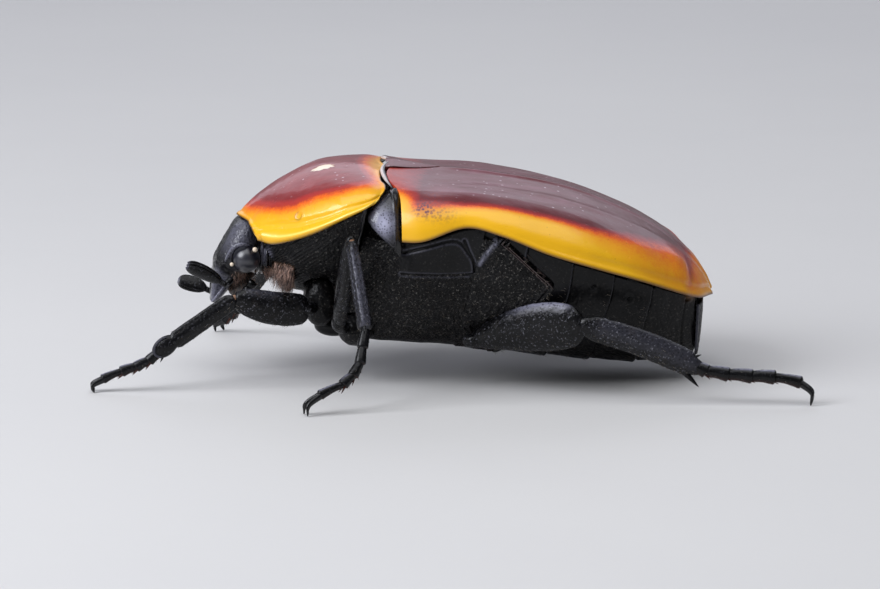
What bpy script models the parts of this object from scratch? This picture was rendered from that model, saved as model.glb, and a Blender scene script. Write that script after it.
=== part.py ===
"""A flower beetle, 25 mm from brow to wing-case tip, standing on its six feet.

Metres, +Z up. The head points to -X and the beetle's left side faces -Y. The feet stand on
z = 0. Places and sizes below are in millimetres and become metres in the mesh builders.
"""

import math

import bmesh
import bpy
from mathutils import Vector

MM = 0.001

BEETLE = "flower_beetle"

# Air between neighbouring pieces, and the thickness of the hard plates
GAP = 0.2
JOINT_GAP = 0.15
ELYTRON_THICK = 0.55
PRONOTUM_THICK = 0.5

# The sutural line of the wing cases: (x, z)
SUTURE = [
    (-3.0, 10.66), (-1.15, 10.70), (1.79, 10.38), (5.28, 9.69), (7.67, 8.82), (10.03, 7.55),
    (11.78, 6.08), (12.5, 5.1), (12.85, 4.3),
]
# The lateral edge of a wing case: (x, half width, z)
ELYTRON_EDGE = [
    (-3.0, 6.0, 7.7), (-1.6, 6.45, 7.75), (0.57, 6.35, 8.42), (2.31, 6.55, 8.05),
    (4.61, 6.6, 7.15), (6.93, 6.35, 6.4), (9.28, 5.6, 5.6), (11.2, 4.2, 4.75),
    (12.2, 2.9, 4.3), (12.85, 1.1, 4.0),
]
ELYTRON_BASE_X = -2.55
ELYTRON_APEX_X = 12.85
BASE_BEND = 0.45
SCUTELLUM_TIP_X = -0.7
SCUTELLUM_BASE_X = -2.95
SCUTELLUM_HALF_WIDTH = 1.35

# The midline and the lateral margin of the pronotum, front to back
PRONOTUM_MIDLINE = [
    (-10.86, 8.0), (-9.70, 9.10), (-8.04, 10.12), (-6.39, 10.72), (-4.73, 10.93), (-3.2, 10.8),
]
PRONOTUM_MARGIN = [
    (-9.55, 3.0, 7.2), (-8.79, 3.65, 7.1), (-7.12, 4.9, 7.65), (-5.47, 5.7, 8.5),
    (-4.1, 6.0, 9.25), (-3.4, 5.9, 9.75),
]

# The head from the neck to the clypeus: (front x, front z, back x, back z, half width)
HEAD = [
    (-9.82, 7.35, -9.8, 6.0, 1.5), (-10.35, 7.42, -9.88, 5.8, 1.95),
    (-11.0, 7.42, -10.05, 5.55, 2.1), (-11.55, 6.85, -10.3, 5.3, 2.05),
    (-11.95, 6.0, -10.7, 5.0, 1.85), (-12.15, 5.2, -11.2, 4.6, 1.7), (-12.2, 4.6, -11.55, 4.2, 1.76),
    (-12.18, 4.1, -11.8, 3.85, 1.78), (-12.08, 3.8, -11.93, 3.75, 1.5),
]
EYE_CENTRE = (-10.37, 2.02, 6.06)
EYE_RADIUS = 0.62
EYE_GAP = 0.12
CANTHUS = [(-11.5, 1.62, 5.95), (-11.15, 2.05, 6.35), (-10.8, 2.4, 6.72), (-10.45, 2.42, 6.98)]

# Each antenna: its root, its bend, the root and the tip of its club of three leaves
ANTENNAE = {
    "left": [(-11.0, -2.05, 5.15), (-11.3, -2.3, 4.85), (-11.62, -2.15, 5.0), (-13.27, -2.3, 5.85)],
    "right": [(-11.0, 2.05, 5.15), (-12.15, 2.33, 3.62), (-12.5, 2.07, 3.85), (-13.9, 2.1, 4.3)],
}
FUNICLE_RADIUS = 0.22
LEAF_HALF_WIDTH = 0.38
LEAF_HALF_THICK = 0.14
LEAF_SPACING = 0.185

MOUTH_AXIS = [(-10.05, 0, 4.85), (-10.4, 0, 4.55), (-10.8, 0, 4.2), (-11.15, 0, 3.9)]
MOUTH_HALF_WIDTH = 1.1
MOUTH_HALF_DEPTH = 0.3
PALP = [(-11.2, 1.28, 3.85), (-11.0, 1.55, 3.72), (-10.6, 1.7, 4.1), (-10.2, 1.72, 4.6),
        (-9.95, 1.7, 4.9)]
PALP_RADII = [0.18, 0.24, 0.22, 0.26, 0.12]

# The prothorax under its shield: (x, half width, lowest z, power)
PROTHORAX = [
    (-9.45, 1.9, 6.05, 1.6), (-8.9, 2.7, 5.4, 1.5), (-7.9, 3.85, 4.6, 1.45),
    (-6.9, 4.55, 4.3, 1.4), (-5.9, 5.05, 4.4, 1.4), (-4.95, 5.3, 4.8, 1.4),
]
PROTHORAX_LEAN = 0.15
PROTHORAX_INSET = 0.6
# The black plate at each shoulder: (z, x, half length, y, half depth)
MESEPIMERON = [
    (6.7, -2.85, 0.1, 5.8, 0.15), (7.2, -3.1, 0.34, 5.65, 0.45), (7.9, -3.36, 0.6, 5.4, 0.65),
    (8.7, -3.42, 0.66, 5.25, 0.68), (9.3, -3.2, 0.4, 5.1, 0.6), (9.75, -3.06, 0.25, 4.9, 0.5),
    (10.2, -3.15, 0.2, 4.4, 0.5),
]
KNOB_CENTRE = (-6.0, 0, 2.35)
KNOB_HALF_AXES = (1.0, 0.8, 0.55)
KNOB_TILT = 8.0
COXA_HALF_AXES = {"front": (0.85, 0.85, 1.3), "middle": (0.85, 1.05, 0.8)}

# Sections of the trunk lean forward towards the belly, measured from this height. Each has
# this many steps above and below its shoulder, where it steps out by the inset.
LEAN_LEVEL = 7.0
SECTION_UPPER = 4
SECTION_LOWER = 8
SHOULDER_STEP = (0.1, 0.25)
BODY_INSET = 0.75
PLATE_CLEARANCE = 0.1

# Joints of each leg, from the body to the claw tips
LEGS = {
    "front_left": {
        "coxa": (-6.7, -1.55, 3.9),
        "root": (-6.9, -1.9, 3.7),
        "base": (-7.2, -2.75, 3.7),
        "knee": (-10.76, -4.0, 4.5),
        "ankle": (-13.9, -4.7, 2.4),
        "tarsus": [
            (-14.5, -4.8, 1.95), (-15.05, -4.85, 1.5), (-15.68, -4.9, 1.2),
            (-16.4, -4.95, 0.98), (-17.35, -5.0, 0.6),
        ],
        "foot": (-17.75, -5.1, 0.0),
    },
    "front_right": {
        "coxa": (-6.7, 1.55, 3.9),
        "root": (-6.85, 1.9, 3.8),
        "base": (-7.1, 2.9, 4.0),
        "knee": (-8.7, 6.1, 5.2),
        "ankle": (-10.3, 8.2, 2.75),
        "tarsus": [
            (-10.65, 8.6, 2.2), (-10.95, 8.95, 1.7), (-11.2, 9.2, 1.25),
            (-11.45, 9.4, 0.95), (-11.8, 9.75, 0.62),
        ],
        "foot": (-12.1, 10.1, 0.0),
    },
    "middle_left": {
        "coxa": (-4.9, -2.0, 2.5),
        "root": (-5.2, -2.3, 2.6),
        "base": (-5.5, -3.35, 3.0),
        "knee": (-5.05, -6.5, 7.9),
        "ankle": (-4.32, -8.5, 3.8),
        "tarsus": [
            (-4.47, -9.0, 3.0), (-4.58, -9.45, 2.31), (-4.92, -9.8, 1.78),
            (-5.4, -10.1, 1.4), (-6.55, -10.5, 0.95),
        ],
        "foot": (-7.2, -10.7, 0.0),
    },
    "middle_right": {
        "coxa": (-4.9, 2.0, 2.5),
        "root": (-5.2, 2.3, 2.6),
        "base": (-5.5, 3.35, 3.0),
        "knee": (-4.6, 7.2, 7.0),
        "ankle": (-2.6, 9.1, 3.2),
        "tarsus": [
            (-2.2, 9.4, 2.5), (-1.8, 9.7, 1.95), (-1.3, 10.0, 1.5),
            (-0.7, 10.25, 1.15), (0.3, 10.5, 0.75),
        ],
        "foot": (0.9, 10.7, 0.0),
    },
    "hind_left": {
        "root": (2.2, -2.0, 1.85),
        "base": (0.75, -3.6, 2.25),
        "knee": (6.25, -6.8, 3.68),
        "ankle": (11.75, -7.6, 1.78),
        "tarsus": [
            (12.9, -7.75, 1.5), (13.9, -7.85, 1.36), (14.95, -7.95, 1.28),
            (16.05, -8.05, 1.2), (17.15, -8.15, 0.9),
        ],
        "foot": (17.6, -8.25, 0.0),
    },
    "hind_right": {
        "root": (2.2, 2.0, 1.85),
        "base": (0.95, 3.7, 2.5),
        "knee": (3.6, 8.9, 4.5),
        "ankle": (7.6, 9.9, 1.3),
        "tarsus": [
            (8.5, 10.05, 1.1), (9.3, 10.2, 1.0), (10.1, 10.3, 0.9),
            (10.9, 10.4, 0.82), (11.6, 10.5, 0.62),
        ],
        "foot": (11.95, 10.6, 0.0),
    },
}

# The trunk under the wing cases: (x, inset from the wing-case edge, belly z, power, lean)
BELLY = [
    (-4.6, 2.4, 2.1, 1.5, 0.22), (-3.6, 0.9, 1.75, 1.6, 0.22), (-2.0, 0.3, 1.6, 1.7, 0.22),
    (1.1, 0.25, 1.4, 1.7, 0.22), (3.0, 0.25, 1.15, 1.65, 0.22), (6.0, 0.3, 0.85, 1.7, 0.22),
    (9.0, 0.35, 0.6, 1.8, 0.18), (10.6, 0.4, 0.6, 1.9, 0.08), (11.75, 0.6, 0.9, 1.9, 0.0),
]
# The groove between the plates on the side of the thorax: places as (x, turn on the section)
PLATE_LINE = [(-2.35, 0.22), (-1.2, 0.26), (0.0, 0.27), (0.85, 0.2), (0.7, 0.12), (0.3, 0.04)]
PLATE_LINE_RADIUS = 0.1
THORAX_END = 1.1
ABDOMEN_END = 11.75
# Where each sternite of the abdomen ends, and how deep and wide its groove is
STERNITE_ENDS = [5.7, 7.85, 9.65, 11.0]
GROOVE_DEPTH = 0.12
GROOVE_WIDTH = 0.16
# The hind coxa plate: how far back it reaches between the shoulder (0) and the belly (1)
COXA_PLATE_BACK = [(0.0, 2.5), (0.27, 4.95), (0.6, 4.0), (1.0, 3.3)]
COXA_PLATE_TURN = (0.04, 0.95)
COXA_PLATE_THICK = 0.7
COXA_PLATE_PROUD = 0.08
COXA_SOCKET_REACH = 0.6
# The last plate of the back: (z, x, half width)
PYGIDIUM = [
    (3.7, 12.4, 2.3), (3.1, 12.5, 2.7), (2.3, 12.52, 2.5), (1.6, 12.42, 1.9), (1.1, 12.28, 1.0),
]
PYGIDIUM_THICK = 0.45

# Limb profiles: (share of the length, half width, half depth)
FEMUR = [
    (0.0, 0.2, 0.2), (0.04, 0.55, 0.7), (0.25, 0.85, 0.95), (0.55, 1.0, 1.0), (0.8, 0.82, 0.92),
    (0.95, 0.56, 0.75), (1.0, 0.42, 0.6), (1.035, 0.15, 0.25),
]
TIBIA = [
    (0.0, 0.3, 0.3), (0.05, 0.62, 0.8), (0.15, 0.68, 0.85), (0.5, 0.8, 0.95), (0.85, 0.97, 1.0),
    (0.97, 1.0, 1.0), (1.0, 0.65, 0.7),
]
# Half width and half depth of each pair of legs
TROCHANTER_RADIUS = {"front": 0.4, "middle": 0.4, "hind": 0.5}
FEMUR_SIZE = {"front": (0.84, 0.45), "middle": (0.62, 0.4), "hind": (1.08, 0.5)}
TIBIA_SIZE = {"front": (0.42, 0.3), "middle": (0.36, 0.3), "hind": (0.6, 0.36)}
# Which way the broad side of a limb's section points
BROAD = {"front": (0.0, 0.0, 1.0), "middle": (0.0, -1.0, -0.3), "hind": (0.0, -0.45, 1.0)}
# Thorns of each tibia: (share of the length, side, length, radius)
THORNS = {
    "front": [(0.62, -1, 0.5, 0.16), (0.82, -1, 0.6, 0.18), (0.97, -1, 0.7, 0.2), (0.96, 1, 0.5, 0.1)],
    "middle": [(0.5, -1, 0.4, 0.14), (0.96, -1, 0.5, 0.14), (0.98, 1, 0.75, 0.12)],
    "hind": [(0.5, -1, 0.35, 0.14), (0.96, -1, 0.45, 0.14), (0.97, 1, 0.95, 0.14)],
}
TARSUS_RADII = [(0.06, 0.2), (0.6, 0.27), (0.93, 0.33)]
CLAW_SPREAD = 0.3
CLAW_RADIUS = 0.16
CLAW_SINK = 0.1

COLOURS = {
    "maroon_cuticle": ((0.13, 0.010, 0.012), 0.22),
    "yellow_cuticle": ((0.80, 0.36, 0.012), 0.25),
    "black_cuticle": ((0.008, 0.008, 0.010), 0.28),
    "leg_cuticle": ((0.012, 0.011, 0.012), 0.35),
    "eye": ((0.006, 0.006, 0.010), 0.08),
    "mouth": ((0.10, 0.045, 0.015), 0.5),
}


def clear_scene():
    for thing in list(bpy.data.objects):
        bpy.data.objects.remove(thing, do_unlink=True)


def collection(name):
    group = bpy.data.collections.new(name)
    bpy.context.scene.collection.children.link(group)
    return group


def material(name):
    if name in bpy.data.materials:
        return bpy.data.materials[name]
    colour, roughness = COLOURS[name]
    finish = bpy.data.materials.new(name)
    finish.use_nodes = True
    shader = finish.node_tree.nodes["Principled BSDF"]
    shader.inputs["Base Color"].default_value = (*colour, 1.0)
    shader.inputs["Roughness"].default_value = roughness
    shader.inputs["Metallic"].default_value = 0.0
    return finish


def side_of(word):
    return -1 if word == "left" else 1


def mirrored(point, side):
    """The point on the beetle's left (side -1) or right (side +1)."""
    return Vector((point[0], side * abs(point[1]), point[2]))


def between(table, x):
    """The row of a table that is sorted by its first value, read smoothly at x."""
    x = min(max(x, table[0][0]), table[-1][0])
    index = 0
    while index < len(table) - 2 and table[index + 1][0] < x:
        index += 1
    low = table[index]
    high = table[index + 1]
    span = high[0] - low[0]
    share = (x - low[0]) / span
    row = []
    for column in range(1, len(low)):
        rise = (high[column] - low[column]) / span
        slopes = []
        for knot in (index, index + 1):
            if 0 < knot < len(table) - 1:
                before = table[knot - 1]
                after = table[knot + 1]
                slopes.append((after[column] - before[column]) / (after[0] - before[0]))
            else:
                slopes.append(rise)
        h00 = 2 * share**3 - 3 * share**2 + 1
        h10 = share**3 - 2 * share**2 + share
        h01 = 3 * share**2 - 2 * share**3
        h11 = share**3 - share**2
        row.append(
            h00 * low[column] + h10 * span * slopes[0] + h01 * high[column] + h11 * span * slopes[1]
        )
    return row


def smooth_path(points, count):
    """Evenly numbered places on one smooth curve through the points."""
    knots = [(index, *point) for index, point in enumerate(points)]
    last = len(points) - 1
    return [Vector(between(knots, last * step / (count - 1))) for step in range(count)]


def signed_power(value, power):
    return math.copysign(abs(value) ** power, value)


def ring(centre, across, up, count, roundness=1.0):
    """A closed section with the two half axes across and up; a roundness under 1 is boxier."""
    places = []
    for step in range(count):
        angle = 2 * math.pi * step / count
        places.append(
            centre
            + across * signed_power(math.sin(angle), roundness)
            + up * signed_power(math.cos(angle), roundness)
        )
    return places


def add_object(name, mesh, group, finish):
    thing = bpy.data.objects.new(name, mesh)
    group.objects.link(thing)
    mesh.materials.clear()
    mesh.materials.append(material(finish))
    return thing


def shade(mesh):
    mesh.shade_smooth()
    mesh.set_sharp_from_angle(angle=math.radians(40))


def loft(name, rings, group, finish):
    """A closed body through the rings, its ends closed by a fan of triangles."""
    shape = bmesh.new()
    loops = [[shape.verts.new(place * MM) for place in places] for places in rings]
    count = len(rings[0])
    for low, high in zip(loops, loops[1:]):
        for step in range(count):
            after = (step + 1) % count
            shape.faces.new((low[step], low[after], high[after], high[step]))
    for loop in (loops[0], loops[-1]):
        middle = sum((vert.co for vert in loop), Vector()) / count
        hub = shape.verts.new(middle)
        for step in range(count):
            shape.faces.new((loop[step], loop[(step + 1) % count], hub))
    bmesh.ops.recalc_face_normals(shape, faces=shape.faces)
    mesh = bpy.data.meshes.new(name)
    shape.to_mesh(mesh)
    shape.free()
    shade(mesh)
    return add_object(name, mesh, group, finish)


def sheet(name, rows, thickness, group, finish, outward, proud=0.0):
    """An open surface through the rows, thickened away from outward and a little towards it."""
    shape = bmesh.new()
    grid = [[shape.verts.new(place * MM) for place in places] for places in rows]
    for low, high in zip(grid, grid[1:]):
        for left, right, top_right, top_left in zip(low, low[1:], high[1:], high):
            shape.faces.new((left, right, top_right, top_left))
    bmesh.ops.recalc_face_normals(shape, faces=shape.faces)
    shape.faces.ensure_lookup_table()
    middle = shape.faces[len(shape.faces) // 2]
    if middle.normal.dot(outward) < 0:
        bmesh.ops.reverse_faces(shape, faces=shape.faces)
    mesh = bpy.data.meshes.new(name)
    shape.to_mesh(mesh)
    shape.free()
    shade(mesh)
    thing = add_object(name, mesh, group, finish)
    thicken = thing.modifiers.new("thickness", "SOLIDIFY")
    thicken.thickness = (thickness + proud) * MM
    thicken.offset = (proud - thickness) / (proud + thickness)
    return thing


def settle(thing):
    """Apply the modifiers of an object and keep its largest closed surface."""
    ready = thing.evaluated_get(bpy.context.evaluated_depsgraph_get())
    mesh = bpy.data.meshes.new_from_object(ready)
    thing.modifiers.clear()
    thing.data = mesh
    shape = bmesh.new()
    shape.from_mesh(mesh)
    bmesh.ops.remove_doubles(shape, verts=shape.verts, dist=0.002 * MM)
    islands = []
    unseen = set(shape.verts)
    while unseen:
        island = {unseen.pop()}
        edge_of_island = list(island)
        while edge_of_island:
            vert = edge_of_island.pop()
            for edge in vert.link_edges:
                other = edge.other_vert(vert)
                if other in unseen:
                    unseen.discard(other)
                    island.add(other)
                    edge_of_island.append(other)
        islands.append(island)
    islands.sort(key=len)
    for island in islands[:-1]:
        bmesh.ops.delete(shape, geom=list(island), context="VERTS")
    shape.to_mesh(mesh)
    shape.free()
    shade(mesh)
    return thing


def fuse(thing, pieces, solver="EXACT"):
    """Join the pieces to the thing by one union, and remove them."""
    group = bpy.data.collections.new("joined_to_" + thing.name)
    for piece in pieces:
        group.objects.link(piece)
    union = thing.modifiers.new("union", "BOOLEAN")
    union.operation = "UNION"
    union.solver = solver
    union.operand_type = "COLLECTION"
    union.collection = group
    settle(thing)
    for piece in pieces:
        bpy.data.objects.remove(piece, do_unlink=True)
    bpy.data.collections.remove(group)
    return thing


def carve_away(thing, cutter, solver="EXACT"):
    """Cut the cutter's shape out of the thing, and remove the cutter."""
    cutter.hide_render = True
    cutter.display_type = "WIRE"
    cut = thing.modifiers.new("cut", "BOOLEAN")
    cut.operation = "DIFFERENCE"
    cut.solver = solver
    cut.object = cutter
    settle(thing)
    bpy.data.objects.remove(cutter, do_unlink=True)


def stand_flat(thing):
    """Cut the thing off at the floor, which leaves small flats at z = 0."""
    shape = bmesh.new()
    shape.from_mesh(thing.data)
    everything = list(shape.verts) + list(shape.edges) + list(shape.faces)
    bmesh.ops.bisect_plane(
        shape, geom=everything, plane_co=(0, 0, 0), plane_no=(0, 0, -1), clear_outer=True
    )
    rim = [edge for edge in shape.edges if edge.is_boundary]
    bmesh.ops.holes_fill(shape, edges=rim)
    bmesh.ops.recalc_face_normals(shape, faces=shape.faces)
    shape.to_mesh(thing.data)
    shape.free()


def ellipsoid(name, centre, half_axes, segments, group, finish, tilt=0.0):
    """A rounded lump, tilted about Y by an angle in degrees."""
    shape = bmesh.new()
    bmesh.ops.create_uvsphere(shape, u_segments=segments, v_segments=segments // 2 + 1, radius=1)
    turn = math.radians(tilt)
    for vert in shape.verts:
        x = vert.co.x * half_axes[0]
        y = vert.co.y * half_axes[1]
        z = vert.co.z * half_axes[2]
        turned = Vector(
            (x * math.cos(turn) + z * math.sin(turn), y, z * math.cos(turn) - x * math.sin(turn))
        )
        vert.co = (Vector(centre) + turned) * MM
    mesh = bpy.data.meshes.new(name)
    shape.to_mesh(mesh)
    shape.free()
    shade(mesh)
    return add_object(name, mesh, group, finish)


def frame_of(direction, broad):
    """Two directions across a limb: the broad one as near to the hint as it can be, and the thin one."""
    along = direction.normalized()
    wide = (broad - along * broad.dot(along)).normalized()
    return wide, along.cross(wide)


def limb(name, path, widths, depths, broad, sides, group, finish):
    """A tapering limb along the path; widths lie along the broad direction, depths across it."""
    rings = []
    for index, place in enumerate(path):
        ahead = path[min(index + 1, len(path) - 1)]
        behind = path[max(index - 1, 0)]
        wide, thin = frame_of(ahead - behind, broad)
        rings.append(ring(place, thin * depths[index], wide * widths[index], sides))
    return loft(name, rings, group, finish)


def spike(name, root, tip, radius, group, finish, sides=5):
    """A thorn, its root sunk in what it grows from, with a slight blunt point."""
    rings = []
    wide, thin = frame_of(tip - root, Vector((0.3, 0.5, 0.8)))
    for share, size in ((0.0, 1.0), (1.0, 0.25)):
        rings.append(ring(root.lerp(tip, share), thin * radius * size, wide * radius * size, sides))
    return loft(name, rings, group, finish)


def suture_height(x):
    return between(SUTURE, x)[0]


def edge_at(x):
    return between(ELYTRON_EDGE, x)


def inner_edge(x):
    """How far from the midline a wing case starts, which leaves room for the scutellum."""
    start = GAP / 2
    if x < SCUTELLUM_TIP_X:
        share = (SCUTELLUM_TIP_X - x) / (SCUTELLUM_TIP_X - SCUTELLUM_BASE_X)
        start += SCUTELLUM_HALF_WIDTH * share + GAP * 0.6
    return start


def elytron_rows(side, count_along=21, count_across=12):
    """The outer surface of a wing case in rows from its base to its apex."""
    rows = []
    for step in range(count_along):
        share = step / (count_along - 1)
        x = ELYTRON_BASE_X + (ELYTRON_APEX_X - ELYTRON_BASE_X) * (1 - (1 - share) ** 1.6)
        top = suture_height(x)
        half_width, edge_z = edge_at(x)
        start = inner_edge(x - BASE_BEND * (1 - share) ** 6)
        row = []
        for column in range(count_across):
            angle = math.pi / 2 * column / (count_across - 1)
            outwards = math.sin(angle) ** 0.85
            y = start + (half_width - start) * outwards
            height = (1 - (y / half_width) ** 2.4) ** (1 / 2.4) if y < half_width else 0.0
            base_bend = BASE_BEND * (1 - outwards) * (1 - share) ** 6
            row.append(Vector((x - base_bend, side * y, edge_z + (top - edge_z) * height)))
        rows.append(row)
    return rows


def make_elytra(group):
    for side, word in ((-1, "left"), (1, "right")):
        outward = Vector((0, side * 0.3, 1))
        sheet("elytron_" + word, elytron_rows(side), ELYTRON_THICK, group, "maroon_cuticle", outward)


def make_scutellum(group):
    """The small triangle between the bases of the wing cases."""
    rows = []
    for step in range(6):
        share = step / 5
        x = SCUTELLUM_BASE_X + (SCUTELLUM_TIP_X - 0.25 - SCUTELLUM_BASE_X) * share
        half = SCUTELLUM_HALF_WIDTH * (1 - share) * 0.97 + 0.06
        row = []
        for column in range(7):
            y = half * (column / 3 - 1)
            row.append(Vector((x, y, suture_height(x) - 0.03 * y * y)))
        rows.append(row)
    sheet("scutellum", rows, ELYTRON_THICK, group, "maroon_cuticle", Vector((0, 0, 1)))


def pronotum_rows(count_along=15, count_across=21):
    """The shield over the prothorax, in rows from its front margin to its base."""
    midline = smooth_path([(x, 0, z) for x, z in PRONOTUM_MIDLINE], count_along)
    margin = smooth_path(PRONOTUM_MARGIN, count_along)
    rows = []
    for step in range(count_along):
        share = step / (count_along - 1)
        row = []
        for column in range(count_across):
            across = 2 * column / (count_across - 1) - 1
            angle = math.pi / 2 * across
            outwards = signed_power(math.sin(angle), 0.9)
            height = (1 - abs(outwards) ** 2.2) ** (1 / 2.2)
            aside = abs(outwards) ** 1.6
            x = midline[step].x + (margin[step].x - midline[step].x) * aside
            x -= 0.38 * math.sin(math.pi * abs(outwards) ** 1.1) * share**4
            y = margin[step].y * outwards
            z = margin[step].z + (midline[step].z - margin[step].z) * height
            row.append(Vector((x, y, z)))
        rows.append(row)
    return rows


def make_pronotum(group):
    sheet("pronotum", pronotum_rows(), PRONOTUM_THICK, group, "maroon_cuticle", Vector((0, 0, 1)))


def slope_of(reader, x):
    step = 0.1
    return (reader(x + step) - reader(x - step)) / (2 * step)


def trunk_section(x, width, top, shoulder, bottom, power, lean, inset):
    """One leaning section of the trunk.

    The upper part is narrower by the inset and hides under the hard plates. The lower part
    starts just below the shoulder height at its full width and rounds down to the belly.
    """
    side = []
    upper_end = shoulder - SHOULDER_STEP[0]
    lower_start = shoulder - SHOULDER_STEP[1]
    for step in range(SECTION_UPPER + 1):
        climb = math.pi / 2 * step / SECTION_UPPER
        y = (width - inset) * math.sin(climb) ** 0.85
        side.append((y, upper_end + (top - upper_end) * math.cos(climb) ** 0.85))
    for step in range(SECTION_LOWER + 1):
        fall = math.pi / 2 * step / SECTION_LOWER
        y = width * math.cos(fall) ** (2 / power)
        side.append((y, lower_start - (lower_start - bottom) * math.sin(fall) ** (2 / power)))
    half = [Vector((x + lean * (z - LEAN_LEVEL), y, z)) for y, z in side]
    mirror = [Vector((place.x, -place.y, place.z)) for place in half[1:-1]]
    mirror.reverse()
    return half + mirror


def section_at(section, turn):
    """The place on a trunk section's lower side, from 0 at the shoulder to 1 at the belly."""
    position = SECTION_UPPER + 1 + SECTION_LOWER * turn
    index = min(int(position), SECTION_UPPER + SECTION_LOWER)
    return section[index].lerp(section[index + 1], position - index)


def under_plate(top, slope, thickness):
    """The height just below a sloping plate of the given thickness."""
    return top - (thickness + GAP) * math.sqrt(1 + slope * slope) - PLATE_CLEARANCE


def body_section(x, shrink=0.0):
    """A section of thorax or abdomen at x, shrunk a little where it is grooved."""
    inset, bottom, power, lean = between(BELLY, x)
    plate_x = max(x, ELYTRON_BASE_X)
    half_width, edge_z = edge_at(plate_x)
    top = under_plate(suture_height(plate_x), slope_of(suture_height, plate_x), ELYTRON_THICK)
    width = half_width - inset - shrink
    return trunk_section(x, width, top - shrink, edge_z, bottom + shrink, power, lean, BODY_INSET)


def mesepimeron_shape(name, side, group, grow=0.0):
    """The smooth black plate between the shield and the shoulder of a wing case."""
    rings = []
    for z, x, half_length, y, half_depth in MESEPIMERON:
        length = Vector((half_length + grow, 0, 0))
        depth = Vector((0, half_depth + grow, 0))
        rings.append(ring(Vector((x, side * y, z)), length, depth, 12))
    if grow:
        lift = Vector((0, 0, grow))
        rings.insert(0, [place - lift for place in rings[0]])
        rings.append([place + lift for place in rings[-1]])
    return loft(name, rings, group, "black_cuticle")


def coxa_shape(name, pair, side, group, grow=0.0):
    """The short first joint of a front or middle leg, which turns in a socket of the body."""
    centre = mirrored(LEGS[pair + "_left"]["coxa"], side)
    half_axes = [half + grow for half in COXA_HALF_AXES[pair]]
    return ellipsoid(name, centre, half_axes, 14, group, "black_cuticle")


def coxa_plate(name, side, group, grow=0.0):
    """The broad hind coxa, a curved plate let into the front of the abdomen."""
    front = THORAX_END + GAP - grow
    turn_from = COXA_PLATE_TURN[0] - 0.1 * grow
    turn_to = COXA_PLATE_TURN[1] + 0.15 * grow
    rows = []
    for step in range(8):
        row = []
        for column in range(11):
            reach = column / 10
            back = between(COXA_PLATE_BACK, reach)[0] + grow
            section = body_section(front + (back - front) * step / 7)
            place = section_at(section, turn_from + (turn_to - turn_from) * reach)
            row.append(Vector((place.x, side * place.y, place.z)))
        rows.append(row)
    outward = Vector((0, side, -0.8))
    proud = COXA_SOCKET_REACH if grow else COXA_PLATE_PROUD
    return sheet(name, rows, COXA_PLATE_THICK + grow, group, "black_cuticle", outward, proud)


def trunk_shape(name, group, grow):
    """The plain trunk around the hind legs, grown on all sides."""
    rings = [body_section(x, -grow) for x in (-3.0, -1.0, THORAX_END, 3.0, 5.0, 7.0)]
    return loft(name, rings, group, "black_cuticle")


def plate_line(side, group):
    """A thin tube along the edge of the side plate, which cuts its groove."""
    path = []
    for x, turn in PLATE_LINE:
        place = section_at(body_section(x), turn)
        path.append(Vector((place.x, side * place.y, place.z)))
    path = smooth_path(path, 9)
    radii = [PLATE_LINE_RADIUS] * len(path)
    return limb("groove", path, radii, radii, Vector((0, 0.3, 1)), 4, group, "black_cuticle")


def make_thorax(group):
    """Middle and hind thorax in one, with sockets for the middle legs and a knob in front."""
    places = (-4.6, -4.2, -3.6, -3.0, -2.4, -1.6, -0.8, 0.0, 0.6, THORAX_END)
    thorax = loft("thorax", [body_section(x) for x in places], group, "black_cuticle")
    knob = ellipsoid("knob", KNOB_CENTRE, KNOB_HALF_AXES, 12, group, "black_cuticle", KNOB_TILT)
    fuse(thorax, [knob])
    for side in (-1, 1):
        carve_away(thorax, coxa_shape("socket", "middle", side, group, GAP))
        carve_away(thorax, mesepimeron_shape("socket", side, group, GAP))
        carve_away(thorax, plate_line(side, group), "MANIFOLD")


def make_abdomen(group):
    """The ringed hind body; each sternite ends at a shallow groove."""
    rings = []
    start = THORAX_END + GAP
    for end in STERNITE_ENDS + [ABDOMEN_END]:
        rings.append(body_section(start))
        rings.append(body_section((start + end) / 2))
        rings.append(body_section(end - GROOVE_WIDTH))
        if end != ABDOMEN_END:
            rings.append(body_section(end, GROOVE_DEPTH))
        start = end + GROOVE_WIDTH
    abdomen = loft("abdomen", rings, group, "black_cuticle")
    for side, word in ((-1, "left"), (1, "right")):
        carve_away(abdomen, coxa_plate("socket", side, group, GAP))
        coxa_plate("coxa_hind_" + word, side, group)


def make_pygidium(group):
    rows = []
    for z, x, half_width in PYGIDIUM:
        row = []
        for column in range(11):
            y = half_width * (column / 5 - 1)
            row.append(Vector((x - 0.055 * y * y, y, z)))
        rows.append(row)
    sheet("pygidium", rows, PYGIDIUM_THICK, group, "black_cuticle", Vector((1, 0, 0)))


def make_prothorax(group):
    """The black underside of the first body ring, with sockets for the front legs."""
    rings = []
    for x, width, bottom, power in PROTHORAX:
        top = between(PRONOTUM_MIDLINE, x)[0]
        slope = slope_of(lambda place: between(PRONOTUM_MIDLINE, place)[0], x)
        shoulder = between(PRONOTUM_MARGIN, x)[1]
        ceiling = under_plate(top, slope, PRONOTUM_THICK)
        rings.append(
            trunk_section(x, width, ceiling, shoulder, bottom, power, PROTHORAX_LEAN, PROTHORAX_INSET)
        )
    prothorax = loft("prothorax", rings, group, "black_cuticle")
    for side, word in ((-1, "left"), (1, "right")):
        carve_away(prothorax, coxa_shape("socket", "front", side, group, GAP))
        coxa_shape("coxa_front_" + word, "front", side, group)
        coxa_shape("coxa_middle_" + word, "middle", side, group)
        mesepimeron_shape("mesepimeron_" + word, side, group)


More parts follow.
